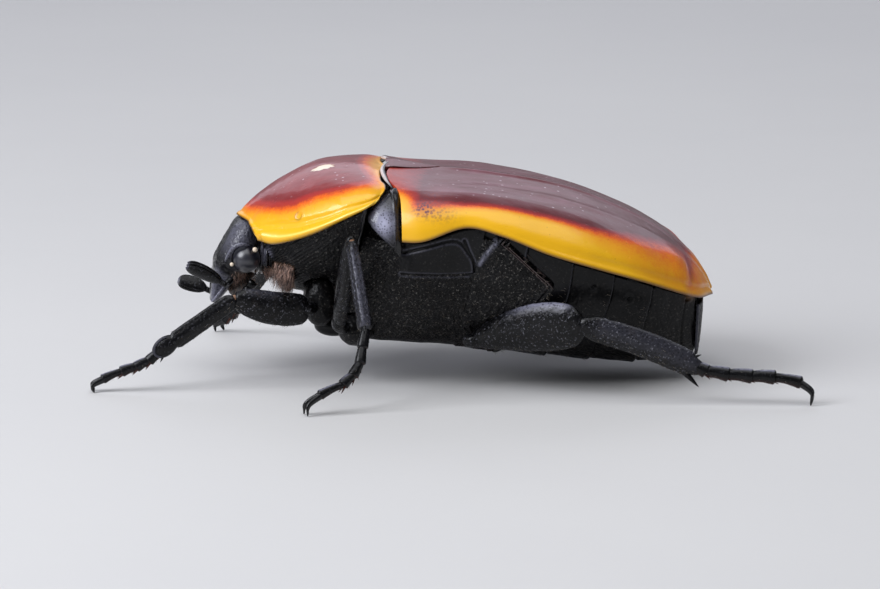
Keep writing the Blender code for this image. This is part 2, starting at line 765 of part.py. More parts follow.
def make_head(group):
    """The capsule with its clypeus, the ridges over the eyes and a socket for each eye."""
    rings = []
    for front_x, front_z, back_x, back_z, half_width in HEAD:
        front = Vector((front_x, 0, front_z))
        back = Vector((back_x, 0, back_z))
        rings.append(
            ring((front + back) / 2, Vector((0, half_width, 0)), (front - back) / 2, 22, 0.75)
        )
    head = loft("head", rings, group, "black_cuticle")
    ridges = []
    for side in (-1, 1):
        path = [mirrored(point, side) for point in CANTHUS]
        radii = [0.2, 0.18, 0.15, 0.08]
        ridge = limb("ridge", path, radii, radii, Vector((0, 0, 1)), 8, group, "black_cuticle")
        ridges.append(ridge)
    fuse(head, ridges)
    for side, word in ((-1, "left"), (1, "right")):
        centre = mirrored(EYE_CENTRE, side)
        socket = EYE_RADIUS + EYE_GAP
        hollow = ellipsoid("socket", centre, [socket] * 3, 16, group, "eye")
        carve_away(head, hollow, "MANIFOLD")
        ellipsoid("eye_" + word, centre, [EYE_RADIUS] * 3, 16, group, "eye")


def make_mouthparts(group):
    path = smooth_path(MOUTH_AXIS, 7)
    swell = [math.sin(math.pi * (0.12 + 0.76 * step / 6)) ** 0.6 for step in range(7)]
    widths = [MOUTH_HALF_DEPTH * size for size in swell]
    depths = [MOUTH_HALF_WIDTH * size for size in swell]
    limb("mouthparts", path, widths, depths, Vector((0, 0, 1)), 16, group, "mouth")
    for side, word in ((-1, "left"), (1, "right")):
        path = [mirrored(point, side) for point in PALP]
        limb("palp_" + word, path, PALP_RADII, PALP_RADII, Vector((0, 1, 0)), 8, group, "leg_cuticle")


def make_antennae(group):
    """Each antenna: a short stalk and a club of three leaves that lie on one another."""
    shape = [(-0.04, 0.3), (0.12, 0.62), (0.4, 0.95), (0.72, 1.0), (0.93, 0.72), (1.0, 0.3)]
    for word, points in ANTENNAE.items():
        root, bend, club_root, club_tip = [Vector(point) for point in points]
        path = smooth_path([root, bend, club_root, club_root.lerp(club_tip, 0.12)], 6)
        radii = [FUNICLE_RADIUS] * 6
        name = "antenna_" + word
        stalk = limb(name, path, radii, radii, Vector((0, 1, 0)), 8, group, "leg_cuticle")
        wide, thin = frame_of(club_tip - club_root, Vector((0.5, 0, 1)))
        leaves = []
        for leaf in (-1, 0, 1):
            places = []
            for share, _ in shape:
                fan = thin * leaf * LEAF_SPACING * (0.5 + 0.5 * share)
                places.append(club_root.lerp(club_tip, share) + fan)
            widths = [LEAF_HALF_WIDTH * size for _, size in shape]
            depths = [LEAF_HALF_THICK * size for _, size in shape]
            leaves.append(limb("leaf", places, widths, depths, wide, 8, group, "leg_cuticle"))
        fuse(stalk, leaves, "MANIFOLD")


def limb_between(name, start, end, profile, size, broad, sides, group, grow=0.0):
    """A limb from start to end with a named profile, grown on all sides where it is a cutter."""
    path = [start.lerp(end, share) for share, _, _ in profile]
    widths = [size[0] * width + grow for _, width, _ in profile]
    depths = [size[1] * depth + grow for _, _, depth in profile]
    return limb(name, path, widths, depths, Vector(broad), sides, group, "leg_cuticle")


def leg_broad(leg):
    pair, word = leg.split("_")
    x, y, z = BROAD[pair]
    return Vector((x, -side_of(word) * y, z))


def femur_shape(name, leg, group, grow=0.0):
    pair = leg.split("_")[0]
    base = Vector(LEGS[leg]["base"])
    knee = Vector(LEGS[leg]["knee"])
    size = FEMUR_SIZE[pair]
    return limb_between(name, base, knee, FEMUR, size, leg_broad(leg), 12, group, grow)


def trochanter_shape(leg, group):
    """The short joint that carries the femur, from inside the body into the femur's base."""
    root = Vector(LEGS[leg]["root"])
    base = Vector(LEGS[leg]["base"])
    knee = Vector(LEGS[leg]["knee"])
    radius = TROCHANTER_RADIUS[leg.split("_")[0]]
    radii = [radius, radius, 0.7 * radius]
    path = [root, base, base.lerp(knee, 0.12)]
    return limb("trochanter", path, radii, radii, Vector((0, 0, 1)), 8, group, "leg_cuticle")


def tibia_shape(name, leg, group, grow=0.0):
    pair = leg.split("_")[0]
    knee = Vector(LEGS[leg]["knee"])
    ankle = Vector(LEGS[leg]["ankle"])
    size = TIBIA_SIZE[pair]
    return limb_between(name, knee, ankle, TIBIA, size, leg_broad(leg), 10, group, grow)


def tibia_thorns(leg, group):
    """The teeth on the outer edge of a tibia and the spur at its end."""
    pair = leg.split("_")[0]
    knee = Vector(LEGS[leg]["knee"])
    ankle = Vector(LEGS[leg]["ankle"])
    along = (ankle - knee).normalized()
    wide, _ = frame_of(along, leg_broad(leg))
    if pair != "middle" and wide.z < 0:
        wide = -wide
    half = TIBIA_SIZE[pair][0]
    thorns = []
    for share, edge, length, radius in THORNS[pair]:
        outwards = wide * -edge
        root = knee.lerp(ankle, share) + outwards * half * 0.45 - along * 0.15
        tip = root + outwards * (half * 0.55 + length * 0.45) + along * length
        thorns.append(spike("thorn", root, tip, radius, group, "leg_cuticle"))
    return thorns


def make_tarsus(leg, group):
    """Five small joints, each widest at its end, and two hooked claws that stand on the floor."""
    joints = [Vector(LEGS[leg]["ankle"])] + [Vector(point) for point in LEGS[leg]["tarsus"]]
    foot = Vector(LEGS[leg]["foot"])
    path = []
    radii = []
    for index, (start, end) in enumerate(zip(joints, joints[1:])):
        slim = 0.85 if index == 4 else 1.0
        for share, radius in TARSUS_RADII:
            path.append(start.lerp(end, share))
            radii.append(radius * slim)
    name = "tarsus_" + leg
    tarsus = limb(name, path, radii, radii, Vector((0, 0, 1)), 6, group, "leg_cuticle")
    pieces = []
    last = joints[-1]
    heading = (last - joints[-2]).normalized()
    level = Vector((heading.x, heading.y, 0)).normalized()
    sideways = Vector((-level.y, level.x, 0))
    for spread in (-1, 1):
        aside = sideways * spread * CLAW_SPREAD
        ground = Vector((foot.x, foot.y, -CLAW_SINK)) + aside
        bow = last.lerp(foot, 0.45) + aside * 0.7 + level * 0.28
        claw_path = smooth_path([last - heading * 0.15, bow, ground], 4)
        claw_radii = [CLAW_RADIUS * (1 - 0.15 * step) for step in range(4)]
        pieces.append(
            limb("claw", claw_path, claw_radii, claw_radii, sideways, 5, group, "leg_cuticle")
        )
    for start, end in zip(joints[:-2], joints[1:-1]):
        along = (end - start).normalized()
        for spread in (-1, 1):
            root = start.lerp(end, 0.82)
            tip = root + along * 0.42 + sideways * spread * 0.3 + Vector((0, 0, -0.3))
            pieces.append(spike("spine", root, tip, 0.11, group, "leg_cuticle", 4))
    fuse(tarsus, pieces)
    stand_flat(tarsus)
    return tarsus


def make_leg(leg, group):
    """Femur with its trochanter, tibia and tarsus, each seated against the one before."""
    pair, word = leg.split("_")
    side = side_of(word)
    femur = femur_shape("femur_" + leg, leg, group)
    fuse(femur, [trochanter_shape(leg, group)])
    if pair == "hind":
        carve_away(femur, coxa_plate("socket", side, group, GAP))
        carve_away(femur, trunk_shape("socket", group, GAP))
    else:
        carve_away(femur, coxa_shape("socket", pair, side, group, GAP))
    tibia = tibia_shape("tibia_" + leg, leg, group)
    fuse(tibia, tibia_thorns(leg, group))
    carve_away(tibia, femur_shape("socket", leg, group, JOINT_GAP))
    tarsus = make_tarsus(leg, group)
    carve_away(tarsus, tibia_shape("socket", leg, group, JOINT_GAP))


def main():
    clear_scene()
    beetle = collection(BEETLE)
    make_elytra(beetle)
    make_scutellum(beetle)
    make_pronotum(beetle)
    make_prothorax(beetle)
    make_thorax(beetle)
    make_abdomen(beetle)
    make_pygidium(beetle)
    make_head(beetle)
    make_mouthparts(beetle)
    make_antennae(beetle)
    for leg in LEGS:
        make_leg(leg, beetle)


main()
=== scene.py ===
"""The looks of a flower beetle, laid over its solids.

Lengths are in millimetres until a mesh is made. The head points to -X, the left side faces -Y
and the feet stand on z = 0, as in the solids.
"""

import math

import bmesh
import bpy
import numpy as np
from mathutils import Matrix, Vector


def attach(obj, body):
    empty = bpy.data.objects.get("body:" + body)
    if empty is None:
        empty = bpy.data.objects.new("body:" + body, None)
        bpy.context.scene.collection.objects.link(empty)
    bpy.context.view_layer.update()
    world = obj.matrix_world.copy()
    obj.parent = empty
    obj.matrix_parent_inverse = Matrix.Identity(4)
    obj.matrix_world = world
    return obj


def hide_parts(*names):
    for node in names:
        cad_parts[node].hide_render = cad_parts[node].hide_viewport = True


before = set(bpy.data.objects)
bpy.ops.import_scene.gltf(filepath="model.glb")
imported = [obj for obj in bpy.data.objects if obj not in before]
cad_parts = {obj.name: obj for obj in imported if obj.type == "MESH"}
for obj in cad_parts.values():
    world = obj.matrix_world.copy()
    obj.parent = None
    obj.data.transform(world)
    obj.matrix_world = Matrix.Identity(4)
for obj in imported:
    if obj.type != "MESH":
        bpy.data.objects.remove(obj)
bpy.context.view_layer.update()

MM = 0.001
SIDES = {"left": -1, "right": 1}

# The camera looks along +Y and down, at the middle of the beetle
CAMERA_TARGET = (-0.7, 0, 3.9)
CAMERA_DISTANCE = 305.6
CAMERA_ELEVATION = math.radians(11)
CAMERA_LENS = 250
SENSOR_WIDTH = 36
NEAR_CLIP = 0.01
# Soft square lamps above, in front to the left, and behind: (place, size, watts, colour)
LAMPS = {
    "sky_lamp": ((0, -40, 220), (260, 200), 0.3, (0.96, 0.97, 1)),
    "key_lamp": ((-165, -85, 140), (150, 140), 0.5, (0.92, 0.94, 1)),
    "rear_lamp": ((0, 187, 117), (280, 120), 0.115, (0.86, 0.88, 1)),
}
LAMP_AIM = (0, 0, 5)
AIR_COLOUR = (0.82, 0.85, 0.92, 1)
AIR_STRENGTH = 0.2

# The sutural line of the wing cases: (x, z), and their lateral edge: (x, half width, z)
SUTURE = [
    (-3, 10.82), (-1.15, 10.5), (1.79, 10.19), (5.28, 9.53), (7.67, 8.67), (10.03, 7.45),
    (11.78, 6), (12.5, 5.05), (12.85, 4.3),
]
ELYTRON_EDGE = [
    (-3, 6, 7.7), (-1.6, 6.45, 7.75), (0.57, 6.35, 8.42), (2.31, 6.55, 8.05), (4.61, 6.6, 7.15),
    (6.93, 6.35, 6.4), (9.28, 5.6, 5.6), (11.2, 4.2, 4.75), (12.2, 2.9, 4.32), (12.85, 1.1, 4.15),
]
ELYTRON_BASE_X = -2.55
ELYTRON_APEX_X = 12.85
ELYTRON_ARCH = 2.4
ELYTRON_INNER = 1.25
SUTURE_GAP = 0.03
# How much each wing case dips beside the suture, along its length, and how far the dip reaches
ELYTRON_DIP = [(-3.5, 0.08), (-2, 0.18), (0, 0.22), (4, 0.17), (8, 0.1), (12.8, 0)]
DIP_WIDTH = 4.6
SCUTELLUM_TIP_X = -0.7
SCUTELLUM_BASE_X = -2.95
SCUTELLUM_HALF_WIDTH = 1.35
# How far forward the base of a wing case reaches at each distance from the middle
ELYTRON_BASE = [
    (0, -2.95), (0.7, -3.05), (1.9, -3.32), (3, -3.25), (3.75, -3.08), (4.3, -2.85), (5, -2.67),
    (5.9, -2.57), (6.5, -2.55),
]
# The low rib along a wing case (x, y), and the height of its rolled edge (x, height)
ELYTRON_RIB = [(-3, 2.6), (7.4, 2.75), (12.8, 1.2)]
ELYTRON_RIM = [(-3, 0), (2, 0.02), (5, 0.07), (9, 0.08), (12, 0.03), (12.8, 0)]
# Soft round patches: the two places of the middle, and the two half widths
SHOULDER_BUMP = (-1.2, 5.5, 1.1, 0.8)
REAR_CALLUS = (11, 3.3, 0.7, 1)
# Where the maroon of a wing case ends: towards the edge (x, z), the base (z, x) and the rear (x)
ELYTRON_MAROON = [
    (-2.6, 9.36), (-0.96, 9.41), (0, 9.45), (1.76, 9.39), (3.45, 9.08), (5.21, 8.65),
    (6.94, 8.12), (8.68, 7.59), (9.9, 7.09), (10.87, 6.57), (11.38, 6.15), (11.62, 5.6),
]
ELYTRON_MAROON_FRONT = [
    (8, -1.75), (9.22, -1.85), (9.57, -1.95), (9.82, -2.1), (10.02, -2.5), (10.2, -3.05),
    (10.35, -3.6), (10.5, -4.2),
]
ELYTRON_MAROON_REAR = 11.62
# How much the front end counts (z, share), and how wide the colours fade outside and inside (x)
MAROON_FRONT_SHARE = [(8, 1), (9.2, 0.9), (9.7, 0.5), (10.1, 0.16), (10.6, 0.02)]
ELYTRON_FADE_OUT = [
    (-3, 0.8), (-1.5, 0.65), (0.5, 0.35), (5, 0.35), (7.5, 1.1), (10, 2.6), (11, 3.2), (13, 3.2),
]
ELYTRON_FADE_IN = [(-3, 0.45), (0.5, 0.3), (6, 0.3), (10, 0.4), (13, 0.4)]
# Dark mottling behind the shoulder: (share, patch in x and z)
MOTTLING = [
    (1.1, (-1.52, 9.24, 0.42, 0.28)), (0.6, (-0.95, 9.75, 0.7, 0.28)), (0.45, (-0.7, 9.05, 0.7, 0.3)),
]

PRONOTUM_MIDLINE = [
    (-10.86, 8), (-9.7, 9.1), (-8.04, 10.12), (-6.39, 10.72), (-4.73, 10.93), (-3.2, 10.8),
]
PRONOTUM_MARGIN = [
    (-9.55, 3, 7.2), (-8.79, 3.65, 7.12), (-7.12, 4.9, 7.78), (-5.47, 5.7, 8.68), (-4.1, 5.5, 9.35),
    (-3.4, 4.8, 9.74),
]
# How the base and the front of the pronotum curve, from the middle (0) to the sides (1)
PRONOTUM_BASE_CURVE = [
    (0, -0.12), (0.24, -0.17), (0.5, 0), (0.72, 0.03), (0.82, 0.14), (0.92, 0.1), (1, 0),
]
PRONOTUM_FRONT_CURVE = [(0, 0), (0.5, 0.16), (0.68, 0), (0.8, -0.12), (0.95, -0.22), (1, -0.17)]
# How wide the rolled side rim is along the pronotum
PRONOTUM_ROLL = [(-9.6, 0.75), (-8.8, 0.82), (-7, 0.85), (-5, 0.78), (-3.3, 0.4)]
DIMPLE_CENTRE = (-7.63, -4.21, 8.65)
SCAR_CENTRE = (-6.5, -1.25)
SCAR_HEADING = (0.93, 0.36)
SCAR_HALF_AXES = (0.56, 0.42)
# Where the maroon of the pronotum ends: towards its sides (x, z), its base (y, x) and its front
PRONOTUM_MAROON = [
    (-10.3, 8.55), (-9.65, 8.7), (-8.8, 8.85), (-7.95, 9.09), (-7.14, 9.49), (-6.32, 9.81),
    (-5.08, 10.15), (-4.1, 10.3), (-3.2, 10.35),
]
PRONOTUM_MAROON_REAR = [(0, -4.65), (1.78, -4.46), (3, -4.2), (3.95, -4.05), (6, -4)]
PRONOTUM_MAROON_FRONT = -10.35
PRONOTUM_SIDE_SHARE = [(-11, 1), (-8, 1.1), (-6, 1.7), (-4, 2.6)]
PRONOTUM_FADE_OUT = [(-11, 0.9), (-9, 0.7), (-6.5, 1), (-4, 1.2)]

# Rings down the face: (front x, front z, back x, back z, half width)
HEAD = [
    (-9.82, 7.9, -9.8, 6, 1.5), (-10.4, 8, -9.88, 5.8, 1.95), (-10.97, 7.68, -10.05, 5.55, 2.1),
    (-11.47, 6.85, -10.25, 5.25, 2.05), (-11.9, 6.05, -10.6, 4.95, 1.85),
    (-12.13, 5.25, -10.98, 4.65, 1.74), (-12.2, 4.6, -11.3, 4.22, 1.78),
    (-12.18, 4.1, -11.65, 3.85, 1.78), (-12.08, 3.8, -11.9, 3.75, 1.5),
]
EYE_CENTRE = (-10.3, 2.05, 6.1)
EYE_HALF_AXES = (0.68, 0.68, 0.68)
# The ridge over each eye and the rim of the clypeus: (path, radii, share of painted highlight)
HEAD_RIDGES = [
    ([(-11.35, 1.85, 5.95), (-11.22, 2.15, 6.25), (-11.06, 2.32, 6.55), (-10.82, 2.42, 6.8),
      (-10.47, 2.42, 6.9), (-10.16, 2.2, 6.82)], [(0, 0.05), (0.15, 0.09), (0.7, 0.1), (1, 0.05)], 0.3),
    ([(-11.12, 1.7, 5.12), (-11.35, 1.8, 4.8), (-11.6, 1.86, 4.42), (-11.85, 1.86, 4.12),
      (-12.06, 1.8, 3.88)], [(0, 0.03), (0.3, 0.06), (0.8, 0.06), (1, 0.03)], 0.5),
]
# Pale spots beside each eye, with their sizes
HEAD_SPOTS = [((-9.86, 2.46, 6.64), 0.13), ((-11.02, 2.27, 5.86), 0.1)]
ANTENNAE = {
    "left": [(-11, -2.05, 5.15), (-11.3, -2.3, 4.85), (-11.62, -2.15, 5), (-13.27, -2.3, 5.85)],
    "right": [(-11, 2.05, 5.15), (-12.15, 2.33, 3.62), (-12.5, 2.07, 3.8), (-13.9, 2.1, 4.22)],
}
ANTENNA_FACING = (0.35, 0.75, 0.9)
MOUTH_AXIS = [(-10, 0, 5.05), (-10.4, 0, 4.8), (-10.8, 0, 4.45), (-11.2, 0, 4.1)]
NECK_AXIS = [(-10, 0, 6.15), (-9.6, 0, 6.12), (-9.05, 0, 6.1)]
PALP = [(-11.2, 1.28, 3.85), (-11, 1.55, 3.72), (-10.6, 1.7, 4.1), (-10.2, 1.72, 4.6), (-9.95, 1.7, 4.9)]
PALP_RADII = (0.2, 0.24, 0.22, 0.26)

# The prothorax under its shield: (x, half width, lowest z, power)
PROTHORAX = [
    (-9.45, 1.9, 6.05, 1.6), (-8.9, 2.7, 5.3, 1.5), (-7.9, 3.85, 4.35, 1.45),
    (-6.9, 4.55, 4.15, 1.4), (-5.9, 5.05, 4.4, 1.4), (-4.95, 5.3, 4.8, 1.4),
]
PROTHORAX_LEAN = 0.15
# The plate behind the pronotum: (z, x, half length, y, half depth)
MESEPIMERON = [
    (7, -2.66, 0.06, 5.85, 0.1), (7.35, -2.8, 0.28, 5.75, 0.35), (7.8, -3.02, 0.5, 5.6, 0.6),
    (8.3, -3.28, 0.74, 5.35, 0.76), (8.75, -3.4, 0.85, 5.1, 0.82), (9.2, -3.3, 0.72, 4.9, 0.78),
    (9.6, -3.1, 0.48, 4.7, 0.62), (9.9, -2.97, 0.24, 4.5, 0.4), (10.08, -2.9, 0.05, 4.35, 0.08),
]
# Where a painted highlight lies on each shoulder plate: middle x, middle z and its widths
MESEPIMERON_SHINE = (-3.45, 8.6, 0.45, 0.6)
# The polished rim between the pronotum and a wing case, and its radii
SHOULDER_RIM = [
    (-3.12, 0.25, 10.7), (-3.36, 0.8, 10.66), (-3.53, 1.7, 10.57), (-3.49, 2.5, 10.44),
    (-3.32, 3.3, 10.27), (-3.08, 3.95, 10.07), (-2.86, 4.5, 9.8),
]
SHOULDER_RIM_RADII = [(0, 0.04), (0.2, 0.1), (0.6, 0.1), (0.75, 0.06), (1, 0.04)]
KNOB_CENTRE = (-6, 0, 2.35)
KNOB_HALF_AXES = (1, 0.8, 0.55)
# The rounded coxae: (centre, half axes)
COXAE = {"front": ((-6.7, 1.55, 3.9), (0.85, 0.85, 1.3)), "middle": ((-4.9, 2, 2.5), (0.85, 1.05, 0.8))}
# The trunk under the wing cases: (x, inset from the wing-case edge, belly z, power, lean)
BELLY = [
    (-4.6, 2.4, 2.1, 1.5, 0.22), (-3.6, 0.9, 1.75, 1.6, 0.22), (-2, 0.3, 1.6, 1.7, 0.22),
    (1.1, 0.25, 1.4, 1.7, 0.22), (3, 0.25, 1.15, 1.65, 0.22), (6, 0.3, 0.85, 1.7, 0.22),
    (9, 0.35, 0.6, 1.8, 0.18), (10.6, 0.4, 0.6, 1.9, 0.08), (11.75, 0.4, 0.9, 1.9, 0),
    (12.4, 0.1, 1.15, 1.9, 0),
]
LEAN_LEVEL = 7
ROOF_STEPS = 10
ABDOMEN_STEPS = 130
THORAX_END = 1.1
ABDOMEN_START = 1.3
ABDOMEN_END = 11.93
STERNITE_ENDS = [5.98, 8.08, 9.95, 11.45]
ABDOMEN_TAN = (11.75, 4.45, 0.3, 0.2)
COXA_PLATE_BACK = [
    (0, 2.55), (0.08, 3.95), (0.15, 5.15), (0.19, 5.15), (0.35, 4.6), (0.6, 4), (1, 3.3),
]
COXA_PLATE_TURN = (0.04, 0.95)
COXA_PLATE_ROWS = 110
PYGIDIUM = [
    (3.95, 12.3, 2.9), (3.1, 12.27, 2.9), (2.3, 12.2, 2.6), (1.65, 12.12, 2), (1.15, 12.04, 1.2),
]
# Seams between the plates on the side of the hind thorax, as (x, z) seen from the side
SEAMS = [
    [(-2.6, 5.98), (-1.6, 5.98), (-0.7, 5.93), (0.4, 5.93), (0.98, 5.98)],
    [(0.5, 7.75), (0.7, 7.2), (0.95, 6.6), (1, 5.95)],
    [(-2.5, 7.1), (-1.43, 7.42), (-0.33, 7.7), (0.2, 7.66), (0.5, 7.4), (0.78, 6.95)],
]
SPIRACLES = [(6.84, 5.38), (8.58, 4.66), (11.55, 4.31)]
COXA_LIP = [(2.04, 7.64), (1.62, 7.12), (1.26, 6.58)]

# Along each joint from its base: (share, width, depth)
FEMUR = {
    "front": [
        (0, 0.3, 0.3), (0.03, 0.7, 0.7), (0.12, 0.92, 0.95), (0.35, 1, 1), (0.65, 0.94, 0.95),
        (0.86, 0.78, 0.85), (0.96, 0.6, 0.75), (1, 0.42, 0.6), (1.03, 0.15, 0.25),
    ],
    "middle": [
        (0, 0.2, 0.2), (0.04, 0.55, 0.7), (0.25, 0.85, 0.95), (0.55, 1, 1), (0.8, 0.82, 0.92),
        (0.95, 0.56, 0.75), (1, 0.42, 0.6), (1.035, 0.15, 0.25),
    ],
    "hind": [
        (0, 0.12, 0.2), (0.04, 0.28, 0.5), (0.25, 0.64, 0.9), (0.5, 0.92, 1), (0.7, 1, 1),
        (0.86, 0.93, 0.92), (0.95, 0.76, 0.75), (1, 0.5, 0.6), (1.035, 0.2, 0.25),
    ],
}
TIBIA = {
    "front": [
        (0, 0.35, 0.35), (0.05, 0.72, 0.85), (0.15, 0.82, 0.9), (0.5, 0.85, 0.9), (0.9, 0.86, 0.9),
        (1, 0.8, 0.85), (1.06, 0.55, 0.6),
    ],
    "middle": [
        (0, 0.3, 0.3), (0.05, 0.62, 0.8), (0.15, 0.68, 0.85), (0.5, 0.8, 0.95), (0.85, 0.97, 1),
        (0.97, 1, 1), (1, 0.65, 0.7),
    ],
    "hind": [
        (-0.05, 0.35, 0.3), (-0.01, 0.7, 0.7), (0.06, 0.85, 0.9), (0.5, 0.95, 0.95), (0.8, 0.95, 1),
        (0.93, 0.9, 1), (1, 0.75, 0.85), (1.06, 0.5, 0.6), (1.08, 0.3, 0.4),
    ],
}
FEMUR_SIZE = {"front": (0.8, 0.45), "middle": (0.62, 0.42), "hind": (1.18, 0.5)}
TIBIA_SIZE = {"front": (0.42, 0.3), "middle": (0.36, 0.37), "hind": (0.6, 0.36)}
FEMUR_BOW = {"front": -0.22, "middle": 0.05, "hind": 0.22}
TIBIA_BOW = {"front": 0, "middle": 0, "hind": 0.2}
FEMUR_PITS = 0.025
TIBIA_PITS = {"front": 0.006, "middle": 0.034, "hind": 0.034}
# How strong the painted highlight is on the upper side of each thigh and the outer side of each shin
FEMUR_LIT = {"front": 0.08, "middle": 0.08, "hind": 0.5}
TIBIA_LIT = {"front": 0, "middle": 0.16, "hind": 0.05}
TROCHANTER_RADIUS = {"front": 0.34, "middle": 0.34, "hind": 0.306}
TROCHANTER = [(0, 0.4), (0.2, 0.9), (0.5, 1), (0.8, 1), (1, 0.5)]
TARSUS_RADIUS = {"front": 0.28, "middle": 0.28, "hind": 0.36}
# The way in which each leg is broad, on the left side
BROAD = {"front": (0, 0, 1), "middle": (0, -1, -0.3), "hind": (0, -0.1, 1)}
# Spurs of a tibia: (share of its length, edge, length, radius)
THORNS = {
    "middle": [(0.5, -1, 0.4, 0.14), (0.96, -1, 0.5, 0.14), (0.98, 1, 0.75, 0.12)],
    "hind": [(0.5, -1, 0.35, 0.14), (0.96, -1, 0.45, 0.14), (0.91, 1, 1.15, 0.23)],
}
# Profiles of small joints, from base to tip
ANTENNA_BEAD = [(0, 0.02), (0.1, 0.7), (0.5, 1), (0.9, 0.75), (1, 0.02)]
ANTENNA_LEAF = [(-0.03, 0.2), (0.05, 0.5), (0.2, 0.82), (0.5, 1), (0.8, 0.86), (0.94, 0.5), (1, 0.06)]
PALP_BEAD = [(0, 0.35), (0.15, 0.75), (0.7, 1), (0.93, 0.8), (1, 0.3)]
TARSUS_BEAD = [(0, 0.5), (0.05, 0.7), (0.15, 0.78), (0.5, 0.88), (0.85, 1), (0.95, 0.98), (1, 0.7)]
LAST_TARSUS_BEAD = [(0, 0.4), (0.06, 0.6), (0.4, 0.68), (0.8, 0.84), (0.93, 0.88), (1, 0.5)]
CLAW_SPREAD = 0.3
LEGS = {
    "front_left": {
        "root": (-6.9, -1.9, 3.7), "base": (-7.2, -2.75, 3.7), "knee": (-10.76, -4, 4.5),
        "ankle": (-13.9, -4.7, 2.4), "foot": (-17.75, -5.1, 0),
        "tarsus": [(-14.5, -4.8, 1.95), (-15.05, -4.85, 1.5), (-15.68, -4.9, 1.2),
                   (-16.4, -4.95, 0.98), (-17.35, -5, 0.6)],
    },
    "front_right": {
        "root": (-6.85, 1.9, 3.8), "base": (-7.1, 2.9, 4), "knee": (-8.7, 6.1, 5.2),
        "ankle": (-10.3, 8.2, 2.75), "foot": (-12.1, 10.1, 0),
        "tarsus": [(-10.65, 8.6, 2.2), (-10.95, 8.95, 1.7), (-11.2, 9.2, 1.25),
                   (-11.45, 9.4, 0.95), (-11.8, 9.75, 0.62)],
    },
    "middle_left": {
        "root": (-5.2, -2.3, 2.6), "base": (-5.7, -3.35, 3), "knee": (-5.05, -6.5, 7.9),
        "ankle": (-4.32, -8.5, 3.8), "foot": (-7.2, -10.7, 0),
        "tarsus": [(-4.47, -9, 3), (-4.58, -9.45, 2.31), (-4.92, -9.8, 1.78),
                   (-5.4, -10.1, 1.4), (-6.55, -10.5, 0.95)],
    },
    "middle_right": {
        "root": (-5.2, 2.3, 2.6), "base": (-5.5, 3.35, 3), "knee": (-4.6, 7.2, 7),
        "ankle": (-2.6, 9.1, 3.2), "foot": (0.9, 10.7, 0),
        "tarsus": [(-2.2, 9.4, 2.5), (-1.8, 9.7, 1.95), (-1.3, 10, 1.5),
                   (-0.7, 10.25, 1.15), (0.3, 10.5, 0.75)],
    },
    "hind_left": {
        "root": (2.2, -2, 1.85), "base": (0.75, -3.6, 2.25), "knee": (6.25, -6.8, 3.68),
        "ankle": (11.75, -7.6, 1.78), "foot": (17.4, -8.2, 0),
        "tarsus": [(12.3, -7.7, 1.56), (13.4, -7.8, 1.42), (14.55, -7.9, 1.35),
                   (15.65, -8, 1.32), (16.95, -8.1, 1.08)],
    },
    "hind_right": {
        "root": (2.2, 2, 1.85), "base": (0.95, 3.7, 2.5), "knee": (3.6, 8.9, 4.5),
        "ankle": (7.6, 9.9, 1.3), "foot": (11.95, 10.6, 0),
        "tarsus": [(8.5, 10.05, 1.1), (9.3, 10.2, 1), (10.1, 10.3, 0.9),
                   (10.9, 10.4, 0.82), (11.6, 10.5, 0.62)],
    },
}


def read(table, x):
    """The columns of a table sorted by its first one, read smoothly at every x."""
    rows = np.asarray(table, float)
    x = np.clip(np.asarray(x, float), rows[0, 0], rows[-1, 0])
    index = np.clip(np.searchsorted(rows[:, 0], x) - 1, 0, len(rows) - 2)
    steps = np.vstack([rows[1:], rows[-1:]]) - np.vstack([rows[:1], rows[:-1]])
    slopes = steps[:, 1:] / steps[:, :1]
    low, high = rows[index], rows[index + 1]
    span = (high - low)[..., :1]
    share = (x - low[..., 0])[..., None] / span
    values = (
        (2 * share**3 - 3 * share**2 + 1) * low[..., 1:]
        + (share**3 - 2 * share**2 + share) * span * slopes[index]
        + (3 * share**2 - 2 * share**3) * high[..., 1:]
        + (share**3 - share**2) * span * slopes[index + 1]
    )
    columns = np.moveaxis(values, -1, 0)
    return columns[0] if len(columns) == 1 else columns


def numbered(points):
    return [(index, *point) for index, point in enumerate(points)]


def smooth_path(points, count):
    """Evenly numbered places on one smooth curve through the points."""
    return read(numbered(points), np.linspace(0, len(points) - 1, count)).T


def shares(count):
    return np.linspace(0, 1, count)


def sheet(rows, columns, first=0):
    """The shares along and across a grid. Those across run from first to 1."""
    return np.meshgrid(shares(rows), np.linspace(first, 1, columns), indexing="ij")


def turns(count):
    """Evenly spread angles round a ring."""
    return np.linspace(0, 2 * math.pi, count, endpoint=False)


def places(x, y, z):
    return np.stack(np.broadcast_arrays(x, y, z), -1)


def unit(vectors):
    vectors = np.asarray(vectors, float)
    return vectors / np.maximum(np.linalg.norm(vectors, axis=-1, keepdims=True), 1e-9)


def square_to(along, direction):
    """The unit direction at right angles to along that is nearest the given one."""
    direction = np.asarray(direction, float)
    return unit(direction - along * (along @ direction)[..., None])


def bell(distance, width):
    return np.exp(-((distance / width) ** 2))


def blot(u, v, patch):
    """A soft round patch, 1 in its middle."""
    middle_u, middle_v, width_u, width_v = patch
    return np.exp(-(((u - middle_u) / width_u) ** 2 + ((v - middle_v) / width_v) ** 2))


def ramp(value, low, high):
    """0 below low, 1 above high and smooth between."""
    share = np.clip((value - low) / (high - low), 0, 1)
    return share * share * (3 - 2 * share)


def blunt(value, power):
    """The power of a value, with its sign."""
    return np.sign(value) * np.abs(value) ** power


def soft_largest(softness, *values):
    """The largest of the values, with rounded corners."""
    return softness * np.logaddexp.reduce([value / softness for value in values])


def hashed(column, row, seed):
    """Two repeatable random numbers from 0 to 1 for each cell of a grid."""
    first = np.sin(column * 127.1 + row * 311.7 + seed * 17.3) * 43758.5453
    second = np.sin(column * 269.5 + row * 183.3 + seed * 7.9) * 28001.8384
    return first - np.floor(first), second - np.floor(second)


